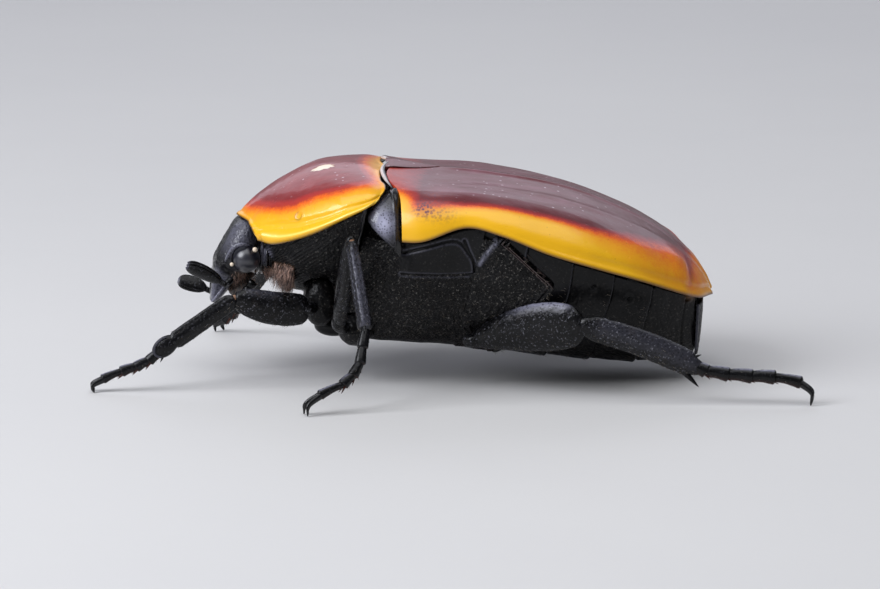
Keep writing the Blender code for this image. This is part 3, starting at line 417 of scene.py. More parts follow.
def cells(u, v, seed):
    """How far each place is from the nearest and from the next of scattered cell centres."""
    nearest = np.full(u.shape, 9.0)
    following = np.full(u.shape, 9.0)
    column, row = np.floor(u), np.floor(v)
    for right in (-1, 0, 1):
        for up in (-1, 0, 1):
            first, second = hashed(column + right, row + up, seed)
            away = np.hypot(column + right + first - u, row + up + second - v)
            following = np.minimum(following, np.maximum(nearest, away))
            nearest = np.minimum(nearest, away)
    return nearest, following


def pits(u, v, seed, width):
    """Scattered round pits, 1 in their middles."""
    return bell(cells(u, v, seed)[0], width)


def net(u, v, seed, low=0.05):
    """A net of fine lines, 0 on them and 1 in its meshes."""
    nearest, following = cells(u, v, seed)
    return ramp(following - nearest, low, 0.4)


def ripples(spots, size, seed, count=7):
    """Soft unevenness between about -1 and 1, with waves of the given length."""
    draw = np.random.default_rng(seed)
    total = np.zeros(spots.shape[:-1])
    for _ in range(count):
        wave = unit(draw.normal(size=3)) * draw.uniform(0.7, 1.5) * 2 * math.pi / size
        total += np.sin(spots @ wave + draw.uniform(0, 2 * math.pi))
    return total / math.sqrt(2 * count)


def line_distance(x, z, points):
    """How far the places (x, z) are from a bent line through the points."""
    path = smooth_path(points, 6 * len(points))
    nearest = np.full(x.shape, 99.0)
    for start, end in zip(path, path[1:]):
        run = end - start
        share = np.clip(((x - start[0]) * run[0] + (z - start[1]) * run[1]) / (run @ run), 0, 1)
        away = np.hypot(x - start[0] - share * run[0], z - start[1] - share * run[1])
        nearest = np.minimum(nearest, away)
    return nearest


def mirrored(points, side):
    points = np.array(points, float)
    points[..., 1] = np.abs(points[..., 1]) * side
    return points


class Surface:
    """A grid of places with outward normals. Closed surfaces wrap round along their rows."""

    def __init__(self, grid, closed=False, flip=False):
        self.grid = grid
        self.closed = closed
        self.flip = flip
        self.aim()

    @property
    def xyz(self):
        return np.moveaxis(self.grid, -1, 0)

    def aim(self):
        along = np.gradient(self.grid, axis=0)
        if self.closed:
            across = np.roll(self.grid, -1, 1) - np.roll(self.grid, 1, 1)
        else:
            across = np.gradient(self.grid, axis=1)
        normal = np.cross(along, across)
        self.normals = unit(-normal if self.flip else normal)
        self.along = unit(along)

    def push(self, height):
        """Move each place outwards by its height."""
        self.grid = self.grid + self.normals * height[..., None]
        self.aim()

    def reach(self, axis):
        """How far each place is along its column (axis 0) or its row (1), on the surface."""
        steps = np.linalg.norm(np.diff(self.grid, axis=axis), axis=2)
        return np.insert(np.cumsum(steps, axis=axis), 0, 0, axis=axis)

    def faces(self):
        rows, columns = self.grid.shape[:2]
        index = np.arange(rows * columns).reshape(rows, columns)
        if self.closed:
            index = np.hstack([index, index[:, :1]])
        corners = [index[:-1, :-1], index[1:, :-1], index[1:, 1:], index[:-1, 1:]]
        if self.flip:
            corners.reverse()
        return np.stack(corners, -1).reshape(-1, 4)

    def roots(self, count, weight, draw):
        """Random places on the surface: where weight is high they are dense."""
        area = np.linalg.norm(
            np.cross(np.gradient(self.grid, axis=0), np.gradient(self.grid, axis=1)), axis=2
        )
        chance = np.clip(weight, 0, None) * area
        chance[-1, :] = 0
        chance[:, -1] = 0
        picks = draw.choice(chance.size, size=count, p=(chance / chance.sum()).ravel())
        row, column = np.unravel_index(picks, chance.shape)
        down = draw.random((count, 1))
        right = draw.random((count, 1))
        corner = self.grid[row, column]
        place = corner + (self.grid[row + 1, column] - corner) * down
        place = place + (self.grid[row, column + 1] - corner) * right
        rows, columns = chance.shape
        chart = np.column_stack([(row + down[:, 0]) / rows, (column + right[:, 0]) / columns])
        return place, self.normals[row, column], self.along[row, column], chart


def linked(name, data):
    """A new object in the scene that shows the data."""
    thing = bpy.data.objects.new(name, data)
    bpy.context.scene.collection.objects.link(thing)
    return thing


def finished(mesh, finish, nodes):
    """A smooth piece of the beetle, which rides on the root and stands for the nodes."""
    mesh.shade_smooth()
    mesh.materials.append(finish)
    thing = linked(mesh.name, mesh)
    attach(thing, "root")
    if nodes:
        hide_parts(*nodes)
    return thing


class Shape:
    """The points, faces and fields of one mesh, gathered surface by surface."""

    def __init__(self):
        self.points = []
        self.faces = []
        self.fields = {}
        self.total = 0

    def add(self, surface, **fields):
        """Join a surface, capped if it is closed. A field is one value, a column or a grid."""
        rows, columns = surface.grid.shape[:2]
        points = surface.grid.reshape(-1, 3)
        faces = (surface.faces() + self.total).tolist()
        values = {name: np.broadcast_to(value, (rows, columns)).ravel() for name, value in fields.items()}
        for row in (0, rows - 1) if surface.closed else ():
            rim = np.arange(columns) + row * columns
            fan = np.stack([rim, np.roll(rim, -1), np.full(columns, len(points))], -1)
            if (row == 0) == surface.flip:
                fan = fan[:, ::-1]
            points = np.vstack([points, surface.grid[row].mean(axis=0)])
            faces += (fan + self.total).tolist()
            for name in values:
                values[name] = np.append(values[name], values[name][rim].mean())
        self.points.append(points)
        self.faces += faces
        for name, value in values.items():
            self.fields.setdefault(name, []).append((self.total, value))
        self.total += len(points)
        return self

    def piece(self, name, finish, slot, *nodes, thickness=0, rim=0):
        """Make the mesh object, with a wall of the given thickness and rounded rims."""
        mesh = bpy.data.meshes.new(name)
        mesh.from_pydata((np.vstack(self.points) * MM).tolist(), [], self.faces)
        for field, parts in self.fields.items():
            values = np.zeros(self.total, np.float32)
            for start, value in parts:
                values[start:start + len(value)] = value
            mesh.attributes.new(field, "FLOAT", "POINT").data.foreach_set("value", values)
        thing = finished(mesh, finish, nodes)
        if thickness:
            wall = thing.modifiers.new("wall", "SOLIDIFY")
            wall.thickness = thickness * MM
            wall.offset = -1
        if rim:
            rounding = thing.modifiers.new("rounding", "BEVEL")
            rounding.width = rim * MM
            rounding.segments = 3
            rounding.limit_method = "ANGLE"
            rounding.angle_limit = math.radians(60)


def tube(path, widths, depths, broad, sides):
    """A tapering tube; widths lie along the broad direction and depths across it."""
    along = unit(np.gradient(path, axis=0))
    wide = square_to(along, broad)
    thin = np.cross(wide, along)
    turn = turns(sides)[None, :, None]
    return Surface(
        path[:, None, :]
        + wide[:, None, :] * widths[:, None, None] * np.cos(turn)
        + thin[:, None, :] * depths[:, None, None] * np.sin(turn),
        closed=True,
    )


def bead(start, end, profile, count, width, depth, broad, sides):
    """A short straight joint with a turned profile."""
    share = shares(count)
    radii = read(profile, share)
    path = start + np.outer(share, end - start)
    return tube(path, radii * width, radii * depth, broad, sides)


def thorn(root, tip, hook, width, depth, broad, sides, core=0.0):
    """A thorn that shrinks to its core at the tip and is bent a little by the hook."""
    share = shares(14)
    path = root + np.outer(share, tip - root) + np.outer(share * share, hook)
    radii = (1 - share) ** 0.75 * 0.97 + 0.03
    return tube(path, core + radii * width, core + radii * depth, broad, sides)


def ball(centre, half_axes, rows=40, columns=64):
    """An ellipsoid with its poles along Y."""
    fall = np.linspace(0.02, math.pi - 0.02, rows)[:, None]
    turn = turns(columns)[None, :]
    x = centre[0] + half_axes[0] * np.sin(fall) * np.cos(turn)
    y = centre[1] + half_axes[1] * np.cos(fall)
    z = centre[2] + half_axes[2] * np.sin(fall) * np.sin(turn)
    return Surface(places(x, y, z), closed=True, flip=True)


def sockets(surface, centre, half_axes, gap, inward):
    """Press the surface in around an ellipsoid on each side, so that this sits in a socket."""
    half_axes = np.asarray(half_axes) + gap
    for side in SIDES.values():
        push = np.array([inward[0], -side * inward[1], inward[2]])
        local = (surface.grid - mirrored(centre, side)) / half_axes
        heading = push / half_axes
        a = heading @ heading
        b = local @ heading
        c = (local**2).sum(-1) - 1
        depth = np.where(c < 0, (-b + np.sqrt(np.clip(b * b - a * c, 0, None))) / a, 0)
        surface.grid = surface.grid + push * depth[..., None]
        surface.aim()


class Hairs:
    """Fine bristles gathered into one mesh, each a thin bent cone of three sides."""

    RINGS = ((0.0, 1.0), (0.35, 0.8), (0.7, 0.5))
    CHART_SIZE = 0.0015

    def __init__(self, seed):
        self.draw = np.random.default_rng(seed)
        self.points = []
        self.charts = []

    def scatter(self, surface, count, weight, length, radius, lean, spread=0.25, sweep=None):
        """Bristles on a surface, which lean along it or along the sweep, with curved tips."""
        roots, normals, along, charts = surface.roots(count, weight, self.draw)
        lie = along if sweep is None else np.broadcast_to(unit(sweep), along.shape)
        directions = normals * (1 - lean) + lie * lean
        directions = unit(directions + self.draw.normal(scale=spread, size=directions.shape))
        lengths = length * self.draw.uniform(0.6, 1.2, (count, 1))
        bends = lie * 0.25 + self.draw.normal(scale=0.08, size=directions.shape)
        side = unit(np.cross(directions, self.draw.normal(size=(count, 3))))
        other = np.cross(directions, side)
        rings = []
        for share, size in self.RINGS:
            centre = roots + directions * lengths * (share - 0.06) + bends * lengths * share**2
            for turn in turns(3):
                rings.append(centre + (side * math.cos(turn) + other * math.sin(turn)) * radius * size)
        rings.append(roots + directions * lengths * 0.94 + bends * lengths)
        self.points.append(np.stack(rings, axis=1))
        self.charts.append(charts)

    def piece(self, name, finish):
        points = np.concatenate(self.points)
        start = np.arange(len(points))[:, None] * 10
        corners = [(corner, (corner + 1) % 3) for corner in range(3)]
        sides = [[band + one, band + two, band + 3 + two, band + 3 + one]
                 for band in (0, 3) for one, two in corners]
        tips = [[6 + one, 6 + two, 9] for one, two in corners]
        faces = []
        for face in sides + tips + [[2, 1, 0]]:
            faces += (start + face).tolist()
        mesh = bpy.data.meshes.new(name)
        mesh.from_pydata((points.reshape(-1, 3) * MM).tolist(), [], faces)
        turn = 2.1 * np.tile(np.arange(10), len(points))
        chart = np.repeat(np.concatenate(self.charts), 10, axis=0)
        chart = chart + self.CHART_SIZE * np.column_stack([np.cos(turn), np.sin(turn)])
        corner_points = np.empty(len(mesh.loops), np.int32)
        mesh.loops.foreach_get("vertex_index", corner_points)
        layer = mesh.uv_layers.new(name="OFBake")
        layer.data.foreach_set("uv", chart[corner_points].astype(np.float32).ravel())
        finished(mesh, finish, ())


def linear(red, green, blue):
    """A colour read as 0 to 255, turned into Blender's linear values."""
    values = [value / 255 for value in (red, green, blue)]
    return tuple(
        value / 12.92 if value <= 0.04045 else ((value + 0.055) / 1.055) ** 2.4 for value in values
    ) + (1.0,)


RED = linear(172, 50, 32)
ORANGE = linear(226, 96, 10)
GOLD = linear(238, 160, 8)
YELLOW = linear(242, 182, 10)
CREAM = linear(240, 222, 198)
# Painted highlight along the crest of the pronotum's rolled rim
CREST_HIGHLIGHT = linear(252, 228, 110)
MOTTLE_GROUND = linear(150, 60, 48)
MOTTLE_DOT = linear(92, 46, 62)
PALE_SPECK = linear(206, 186, 196)
BROWN_PRICK = linear(120, 52, 14)
# Dark brown of the edge lines, also used for painted shade beside the rear callus
DARK_EDGE_AND_SHADE = linear(52, 14, 8)
JET = linear(5, 5, 6)
COAL = linear(15, 15, 18)
# Lavender-grey of the painted highlights and reflections on black cuticle
PAINTED_HIGHLIGHT_TINT = linear(176, 176, 198)
DUST = linear(92, 82, 72)
RUST = linear(66, 28, 17)
TAN = linear(172, 132, 98)


class Finish:
    """A material and short ways to add its nodes. Sizes of patterns are in millimetres."""

    def __init__(self, name, roughness=0.4, coat=0.0, coat_roughness=0.1, specular=0.5):
        self.material = bpy.data.materials.new(name)
        self.material.use_nodes = True
        self.tree = self.material.node_tree
        self.shader = self.tree.nodes["Principled BSDF"]
        self.shader.inputs["Roughness"].default_value = roughness
        self.shader.inputs["Coat Weight"].default_value = coat
        self.shader.inputs["Coat Roughness"].default_value = coat_roughness
        self.shader.inputs["Specular IOR Level"].default_value = specular
        self.place = self.node("ShaderNodeTexCoord").outputs["Object"]

    def feed(self, socket, value):
        """Link a node's output to the socket, or set its value."""
        if isinstance(value, bpy.types.NodeSocket):
            self.tree.links.new(value, socket)
        else:
            socket.default_value = value

    def node(self, kind, inputs=None, **settings):
        made = self.tree.nodes.new(kind)
        for name, value in settings.items():
            setattr(made, name, value)
        for name, value in (inputs or {}).items():
            self.feed(made.inputs[name], value)
        return made

    def field(self, name):
        return self.node("ShaderNodeAttribute", attribute_name=name).outputs["Fac"]

    def noise(self, size, detail=3.0, roughness=0.55, stretch=None):
        where = self.place
        if stretch:
            where = self.node("ShaderNodeMapping", {"Vector": where, "Scale": stretch}).outputs[0]
        inputs = {"Vector": where, "Scale": 1 / (size * MM), "Detail": detail, "Roughness": roughness}
        return self.node("ShaderNodeTexNoise", inputs).outputs["Fac"]

    def spots(self, size):
        """Distances from scattered points, and a colour that is random for each cell."""
        made = self.node("ShaderNodeTexVoronoi", {"Vector": self.place, "Scale": 1 / (size * MM)})
        return made.outputs["Distance"], made.outputs["Color"]

    def math(self, operation, first, second, third=0.0):
        inputs = {0: first, 1: second, 2: third}
        return self.node("ShaderNodeMath", inputs, operation=operation).outputs[0]

    def times(self, first, second):
        return self.math("MULTIPLY", first, second)

    def blend(self, value, share, base):
        """The base plus a share of the value."""
        return self.math("MULTIPLY_ADD", value, share, base)

    def remap(self, value, low, high, to_low=0.0, to_high=1.0):
        inputs = {"Value": value, "From Min": low, "From Max": high,
                  "To Min": to_low, "To Max": to_high}
        return self.node("ShaderNodeMapRange", inputs).outputs["Result"]

    def mix(self, share, first, second):
        return self.node("ShaderNodeMix", {0: share, 6: first, 7: second}, data_type="RGBA").outputs[2]

    def colours(self, value, stops):
        made = self.node("ShaderNodeValToRGB", {"Fac": value})
        elements = made.color_ramp.elements
        while len(elements) < len(stops):
            elements.new(0.5)
        for element, (position, colour) in zip(elements, stops):
            element.position = position
            element.color = colour
        return made.outputs["Color"]

    def bump(self, height, depth, below=None):
        """A bump of the given depth in millimetres, added over the one below."""
        inputs = {"Height": height, "Distance": depth * MM, "Strength": 1.0}
        if below is not None:
            inputs["Normal"] = below
        return self.node("ShaderNodeBump", inputs).outputs["Normal"]

    def wear(self, colour, roughness, normal):
        self.feed(self.shader.inputs["Base Color"], colour)
        self.feed(self.shader.inputs["Roughness"], roughness)
        self.feed(self.shader.inputs["Normal"], normal)
        return self.material


def shell_finish(name, dark, maroon, sheen, coat, coat_roughness, shine):
    """Cuticle that turns from maroon through orange to yellow, with darker patches, a painted sheen and
    painted highlights, and lightly scratched.

    The field fade is below 0 in the maroon and rises to 1 where it is fully yellow.
    """
    finish = Finish(name, 0.38, coat, coat_roughness, 0.35)
    mottle, worn = finish.field("mottle"), finish.field("worn")
    grain = finish.math("SUBTRACT", finish.noise(0.35, 4.0), 0.5)
    fine = finish.math("SUBTRACT", finish.noise(0.09, 2.0), 0.5)
    fade = finish.blend(fine, 0.25, finish.blend(grain, 0.3, finish.field("fade")))
    colour = finish.colours(finish.remap(fade, -0.5, 1.5), [
        (0.0, dark), (0.13, maroon), (0.24, RED), (0.33, ORANGE), (0.5, GOLD), (0.74, YELLOW),
    ])
    patch = finish.remap(finish.noise(2.6, 3.0), 0.35, 0.7, 0.0, 0.4)
    colour = finish.mix(finish.times(patch, worn), colour, dark)
    dots = finish.times(mottle, finish.remap(finish.spots(0.15)[0], 0.6, 0.36))
    colour = finish.mix(finish.times(mottle, 0.45), colour, MOTTLE_GROUND)
    colour = finish.mix(dots, colour, MOTTLE_DOT)
    # A painted pinkish sheen smeared over the upper maroon, which also makes it rougher
    smear = finish.noise(1.2, 6.0, 0.72, stretch=(0.4, 1.0, 1.0))
    sheen_smear = finish.times(finish.remap(smear, 0.45, 0.75, 0.0, 0.5), worn)
    colour = finish.mix(sheen_smear, colour, sheen)
    speck, draw = finish.spots(0.4)
    speck = finish.times(finish.remap(speck, 0.2, 0.1), finish.remap(draw, 0.5, 0.56))
    colour = finish.mix(finish.times(finish.times(speck, worn), 0.7), colour, PALE_SPECK)
    prick, draw = finish.spots(0.33)
    prick = finish.times(finish.remap(prick, 0.12, 0.07), finish.remap(draw, 0.5, 0.6))
    colour = finish.mix(finish.times(prick, 0.3), colour, BROWN_PRICK)
    # The scar and the dark edges are the cuticle's own colours; the crest field paints a highlight, and the
    # dark edge field also paints shade by the rear callus
    for field, tone in (("scar", CREAM), ("crest", CREST_HIGHLIGHT), ("dark_edge", DARK_EDGE_AND_SHADE)):
        colour = finish.mix(finish.field(field), colour, tone)
    rough = finish.blend(finish.noise(0.9, 4.0), 0.2, shine - 0.1)
    rough = finish.blend(worn, 0.08, finish.blend(sheen_smear, 0.35, rough))
    normal = finish.bump(finish.noise(0.6, 3.0), 0.008)
    normal = finish.bump(finish.remap(finish.spots(0.36)[0], 0.08, 0.2), 0.008, normal)
    normal = finish.bump(finish.noise(0.14, 2.0, 0.5, stretch=(0.1, 1.0, 1.0)), 0.003, normal)
    finish.feed(finish.shader.inputs["Coat Normal"], finish.bump(finish.noise(0.8, 4.0), 0.01))
    return finish.wear(colour, rough, normal)


def black_finish(name, glint, share, shine, pit_size, pit_depth, specular, coat):
    """Black cuticle. The field smooth is 1 where it is polished and 0 where it is pitted.

    The glint is the colour of the painted highlight specks between the pits, of which a share is seen.
    """
    finish = Finish(name, shine, coat, 0.16, specular)
    coarse = finish.math("SUBTRACT", 1.0, finish.field("smooth"))
    colour = finish.mix(finish.remap(finish.noise(1.1, 5.0, 0.6), 0.35, 0.75), JET, COAL)
    bowls = finish.remap(finish.spots(pit_size)[0], 0.1, 0.45)
    # Painted highlights and reflections in lavender-grey, broken by the pits
    pale = finish.times(finish.field("pale"), finish.blend(bowls, 0.8, 0.2))
    colour = finish.mix(pale, colour, PAINTED_HIGHLIGHT_TINT)
    speck = finish.remap(finish.noise(0.12, 3.0, 0.7), 0.58, 0.7, 0.0, share)
    colour = finish.mix(finish.times(speck, coarse), colour, glint)
    dust = finish.remap(finish.noise(0.5, 6.0, 0.75), 0.52, 0.8, 0.0, 0.18)
    colour = finish.mix(finish.times(dust, coarse), colour, DUST)
    # Rust, tan and the cream spots are the cuticle's own colours; the cream field also paints the highlight
    # on the shoulder rims
    for field, tone in (("rust", RUST), ("tan", TAN), ("cream", CREAM)):
        colour = finish.mix(finish.field(field), colour, tone)
    rough = finish.blend(finish.noise(0.35, 4.0), 0.25, shine - 0.12)
    rough = finish.blend(coarse, 0.08, rough)
    normal = finish.bump(finish.times(bowls, coarse), pit_depth)
    return finish.wear(colour, rough, finish.bump(finish.noise(0.13, 3.0), 0.006, normal))


def eye_finish():
    finish = Finish("eye", 0.3, 0.4, 0.35, 0.9)
    colour = finish.mix(finish.noise(0.8), linear(8, 9, 16), linear(30, 30, 48))
    rough = finish.blend(finish.noise(0.3), 0.1, 0.28)
    return finish.wear(colour, rough, finish.bump(finish.spots(0.035)[0], 0.001))


def membrane_finish():
    finish = Finish("membrane", 0.5, 0.05, 0.3)
    finish.shader.inputs["Subsurface Weight"].default_value = 0.2
    finish.shader.inputs["Subsurface Radius"].default_value = (0.0005, 0.0002, 0.0001)
    folds = finish.noise(0.25, 4.0, stretch=(1.0, 1.0, 0.4))
    colour = finish.mix(finish.remap(folds, 0.35, 0.65), linear(84, 52, 30), linear(168, 128, 98))
    return finish.wear(colour, finish.remap(folds, 0.3, 0.7, 0.4, 0.65), finish.bump(folds, 0.05))


def hair_finish(name, dark, light):
    finish = Finish(name, 0.42)
    finish.shader.inputs["Sheen Weight"].default_value = 0.2
    strands = finish.noise(0.13, 2.0, stretch=(1.0, 1.0, 0.3))
    colour = finish.mix(finish.remap(strands, 0.38, 0.62), dark, light)
    rough = finish.blend(finish.noise(0.1), 0.2, 0.32)
    return finish.wear(colour, rough, finish.bump(finish.noise(0.03), 0.002))


def floor_finish():
    finish = Finish("floor", 0.7)
    colour = finish.mix(finish.noise(60.0, 4.0), linear(198, 197, 197), linear(208, 207, 205))
    rough = finish.blend(finish.noise(8.0), 0.15, 0.6)
    return finish.wear(colour, rough, finish.bump(finish.noise(0.8, 4.0), 0.01))


def elytron_surface(along, across, side):
    """A wing case: along 0 to 1 from base to apex, across 0 to 1 from suture to edge."""
    x = ELYTRON_BASE_X + (ELYTRON_APEX_X - ELYTRON_BASE_X) * (1 - (1 - along) ** 1.6)
    top = read(SUTURE, x)
    half_width, edge_z = read(ELYTRON_EDGE, x)
    outwards = np.sin(across * math.pi / 2) ** 0.85
    spread = ELYTRON_INNER + (half_width - ELYTRON_INNER) * outwards
    x = x - (ELYTRON_BASE_X - read(ELYTRON_BASE, spread)) * (1 - along) ** 6
    before_tip = np.clip(SCUTELLUM_TIP_X - x, 0, None)
    start = SUTURE_GAP + before_tip / (SCUTELLUM_TIP_X - SCUTELLUM_BASE_X) * SCUTELLUM_HALF_WIDTH
    y = start + (half_width - start) * outwards
    arch = 1 - np.clip(y / half_width, 0, 1) ** ELYTRON_ARCH
    z = edge_z + (top - edge_z) * np.clip(arch, 0, 1) ** (1 / ELYTRON_ARCH)
    z -= read(ELYTRON_DIP, x) * np.sin(math.pi * np.clip(y / DIP_WIDTH, 0, 1))
    return Surface(places(x, side * y, z), flip=side < 0)


def elytron_relief(surface):
    """The height of the ridges, the rolled edge and the bumps of a wing case."""
    x, y, _ = surface.xyz
    y = np.abs(y)
    girth = surface.reach(1)
    from_edge = girth[:, -1:] - girth
    behind = ramp(x, 0.5, 3.0)
    height = 0.05 * bell(girth - 0.14, 0.15) * ramp(x, -0.8, 0.4)
    height -= 0.02 * bell(girth - 0.5, 0.18) * behind
    height += 0.04 * bell(y - read(ELYTRON_RIB, x), 0.4) * behind
    height += read(ELYTRON_RIM, x) * (1 - ramp(from_edge, 0.14, 0.36))
    height -= 0.05 * bell(from_edge - 0.5, 0.2) * ramp(x, 3.0, 8.0)
    height += 0.14 * blot(x, y, SHOULDER_BUMP)
    height += 0.2 * blot(x, y, REAR_CALLUS) * (1 - 0.85 * ramp(x, 11.3, 11.8))
    height += 0.01 * ripples(surface.grid, 1.9, 5) + 0.003 * ripples(surface.grid, 0.7, 6)
    return height, from_edge


def make_elytra(finish):
    for word, side in SIDES.items():
        surface = elytron_surface(*sheet(290, 144), side)
        height, from_edge = elytron_relief(surface)
        x, _, z = surface.xyz
        surface.push(height)
        lower = read(ELYTRON_MAROON, x) - z
        front = (read(ELYTRON_MAROON_FRONT, z) - x) * read(MAROON_FRONT_SHARE, z)
        outside = soft_largest(0.08, lower, front, x - ELYTRON_MAROON_REAR)
        fade = 0.16 * ramp(outside, 0, 0.3) + np.clip(outside, 0, None) / read(ELYTRON_FADE_OUT, x)
        fade = np.where(outside > 0, fade, outside / read(ELYTRON_FADE_IN, x))
        mottle = sum(share * blot(x, z, patch) for share, patch in MOTTLING)
        # Strongest on the upper maroon: it paints a sheen there and also carries darker patches and pale
        # specks
        worn = ramp(-outside, 0, 0.6) * (0.35 + 0.65 * ramp(z, 7.5, 9.6))
        edge = 0.9 * bell(from_edge, 0.12) + 0.6 * bell(surface.reach(1), 0.03) * ramp(x, -0.7, 0.0)
        # Painted shade beside the rear callus, added to the dark edge lines
        shade = bell(x - 11.72, 0.16) * ramp(z, 4.9, 5.4) * (1 - ramp(z, 6.3, 6.9))
        shape = Shape().add(surface, fade=np.clip(fade, -1, 2), mottle=mottle, worn=worn,
                            dark_edge=np.clip(edge + 0.4 * shade, 0, 1))
        name = "elytron_" + word
        shape.piece("shell_" + name, finish, "patterned_cuticle", name, thickness=0.2, rim=0.04)


def make_scutellum(finish):
    """The small triangle between the bases of the wing cases."""
    along, across = sheet(60, 61, -1)
    x = SCUTELLUM_BASE_X - 0.45 + (SCUTELLUM_TIP_X + 0.42 - SCUTELLUM_BASE_X) * along
    before_tip = np.clip(SCUTELLUM_TIP_X - x, 0, None) / (SCUTELLUM_TIP_X - SCUTELLUM_BASE_X)
    y = (SCUTELLUM_HALF_WIDTH * before_tip + 0.01) * across
    drop = read(ELYTRON_DIP, x) * np.sin(math.pi * np.abs(y) / DIP_WIDTH)
    z = read(SUTURE, x) - drop - 0.01 * y * y + 0.02 * (1 - across**6) - 0.05
    rim = bell((1 - np.abs(across)) * before_tip, 0.05)
    shape = Shape().add(Surface(places(x, y, z)), fade=-0.6, worn=0.6, dark_edge=0.6 * rim)
    shape.piece("scutellum_plate", finish, "patterned_cuticle", "scutellum", thickness=0.3, rim=0.04)


def pronotum_surface(along, across):
    """The shield: along 0 to 1 from front to base, across -1 to 1 from left to right."""
    along = along * (1 - 0.15 * np.clip((np.abs(across) - 0.74) / 0.26, 0, 1) ** 2.2)
    steps = along * (len(PRONOTUM_MIDLINE) - 1)
    middle_x, middle_z = read(numbered(PRONOTUM_MIDLINE), steps)
    margin_x, margin_y, margin_z = read(numbered(PRONOTUM_MARGIN), steps)
    outwards = blunt(np.sin(math.pi / 2 * across), 0.9)
    aside = np.abs(outwards)
    power = 2.2 - 0.3 * along**3
    height = np.clip(1 - aside**power, 0, 1) ** (1 / power)
    x = middle_x + (margin_x - middle_x) * aside**1.6
    x = x - 0.38 * np.sin(math.pi * aside**1.1) * along**4
    x = x + read(PRONOTUM_BASE_CURVE, aside) * along**6
    x = x + read(PRONOTUM_FRONT_CURVE, aside) * (1 - along) ** 5
    z = margin_z + (middle_z - margin_z) * height
    z = z - (0.28 * ramp(x, -7.2, -4.4) + 0.15 * ramp(x, -4.5, -3.2)) * (1 - aside**2)
    return Surface(places(x, margin_y * outwards, z))


def scar_mark(surface):
    """An old scar, 1 inside its uneven outline."""
    x, y, _ = surface.xyz
    forward, sideways = x - SCAR_CENTRE[0], y - SCAR_CENTRE[1]
    cosine, sine = SCAR_HEADING
    scar_x = (forward * cosine + sideways * sine) / SCAR_HALF_AXES[0]
    scar_y = (sideways * cosine - forward * sine) / SCAR_HALF_AXES[1]
    return ramp(-np.hypot(scar_x, scar_y) + 0.16 * ripples(surface.grid, 0.35, 11), -1.05, -0.9)


def make_pronotum(finish):
    """The shield with its rolled side rims, a ring-shaped dimple and an old scar on the left."""
    surface = pronotum_surface(*sheet(160, 261, -1))
    x, y, z = surface.xyz
    girth = surface.reach(1)
    from_margin = np.minimum(girth, girth[:, -1:] - girth)
    from_front = surface.reach(0)
    from_base = from_front[-1:] - from_front
    rim = read(PRONOTUM_ROLL, x)
    roll = np.sin(math.pi * np.clip(from_margin / rim, 0, 1) ** 0.8)
    height = 0.19 * roll * ramp(from_front, 0.0, 0.5) * ramp(from_base, 0.1, 0.9)
    height -= 0.05 * bell(from_margin - rim * 1.3, 0.16)
    height += 0.03 * bell(from_front - 0.1, 0.1) - 0.02 * bell(from_front - 0.32, 0.14)
    height += 0.04 * bell(from_base - 0.1, 0.12)
    dimple = np.linalg.norm(surface.grid - DIMPLE_CENTRE, axis=-1)
    height += 0.008 * bell(dimple - 0.26, 0.07) - 0.014 * bell(dimple, 0.16)
    scar = scar_mark(surface)
    height -= 0.035 * scar
    height += 0.01 * ripples(surface.grid, 1.7, 8) + 0.003 * ripples(surface.grid, 0.6, 9)
    surface.push(height)
    lower = (read(PRONOTUM_MAROON, x) - z) * read(PRONOTUM_SIDE_SHARE, x)
    rear = x - read(PRONOTUM_MAROON_REAR, np.abs(y))
    outside = soft_largest(0.1, lower, rear, PRONOTUM_MAROON_FRONT - x)
    fade = np.where(outside > 0, outside / read(PRONOTUM_FADE_OUT, x), outside / 0.6)
    bite = 1 - 0.8 * bell(np.arctan2(z - DIMPLE_CENTRE[2], x - DIMPLE_CENTRE[0]) - 1.2, 0.6)
    ring = 0.4 * bell(dimple - 0.2, 0.06) * bite
    edge = bell(from_front, 0.08) * ramp(from_margin, 0.2, 0.6) + bell(from_base, 0.05)
    edge += 0.85 * bell(from_margin, 0.1)
    shape = Shape().add(
        surface, fade=np.clip(fade, -1, 2), scar=scar, dark_edge=np.clip(edge + ring, 0, 1),
        # Painted highlight along the crest of each roll, and painted sheen on the upper maroon
        crest=0.9 * bell(from_margin - 0.55 * rim, 0.07) * ramp(from_front, 0.3, 1.0),
        worn=0.75 * ramp(-outside, 0.0, 0.5) * ramp(z, 8.8, 10.4),
    )
    shape.piece("shell_pronotum", finish, "patterned_cuticle", "pronotum", thickness=0.14, rim=0.04)


def both_sides(half):
    """A field on half sections, with its mirror image."""
    return np.concatenate([half, half[:, -2:0:-1]], axis=1)


def trunk(x, width, top, shoulder, bottom, power, lean, inset, lower):
    """A closed trunk of sections from the top by the shoulder to the belly, alike on both sides.

    The second value is how far each place is from the top, measured on the surface.
    """
    climb = math.pi / 2 * shares(ROOF_STEPS)
    fall = math.pi / 2 * shares(lower)
    x, width, top, shoulder, bottom, power, lean = [
        np.reshape(value, (-1, 1)) for value in (x, width, top, shoulder, bottom, power, lean)
    ]
    roof_y = (width - inset) * np.sin(climb) ** 0.85
    roof_z = shoulder + (top - shoulder) * np.clip(np.cos(climb), 0, 1) ** 0.85
    wall_y = width * np.clip(np.cos(fall), 0, 1) ** (2 / power)
    wall_z = shoulder - 0.08 - (shoulder - 0.08 - bottom) * np.sin(fall) ** (2 / power)
    y = np.hstack([roof_y, wall_y])
    z = np.hstack([roof_z, wall_z])
    half = places(x + lean * (z - LEAN_LEVEL), y, z)
    other = half[:, -2:0:-1] * np.array([1, -1, 1])
    surface = Surface(np.concatenate([half, other], axis=1), closed=True)
    return surface, both_sides(Surface(half).reach(1))


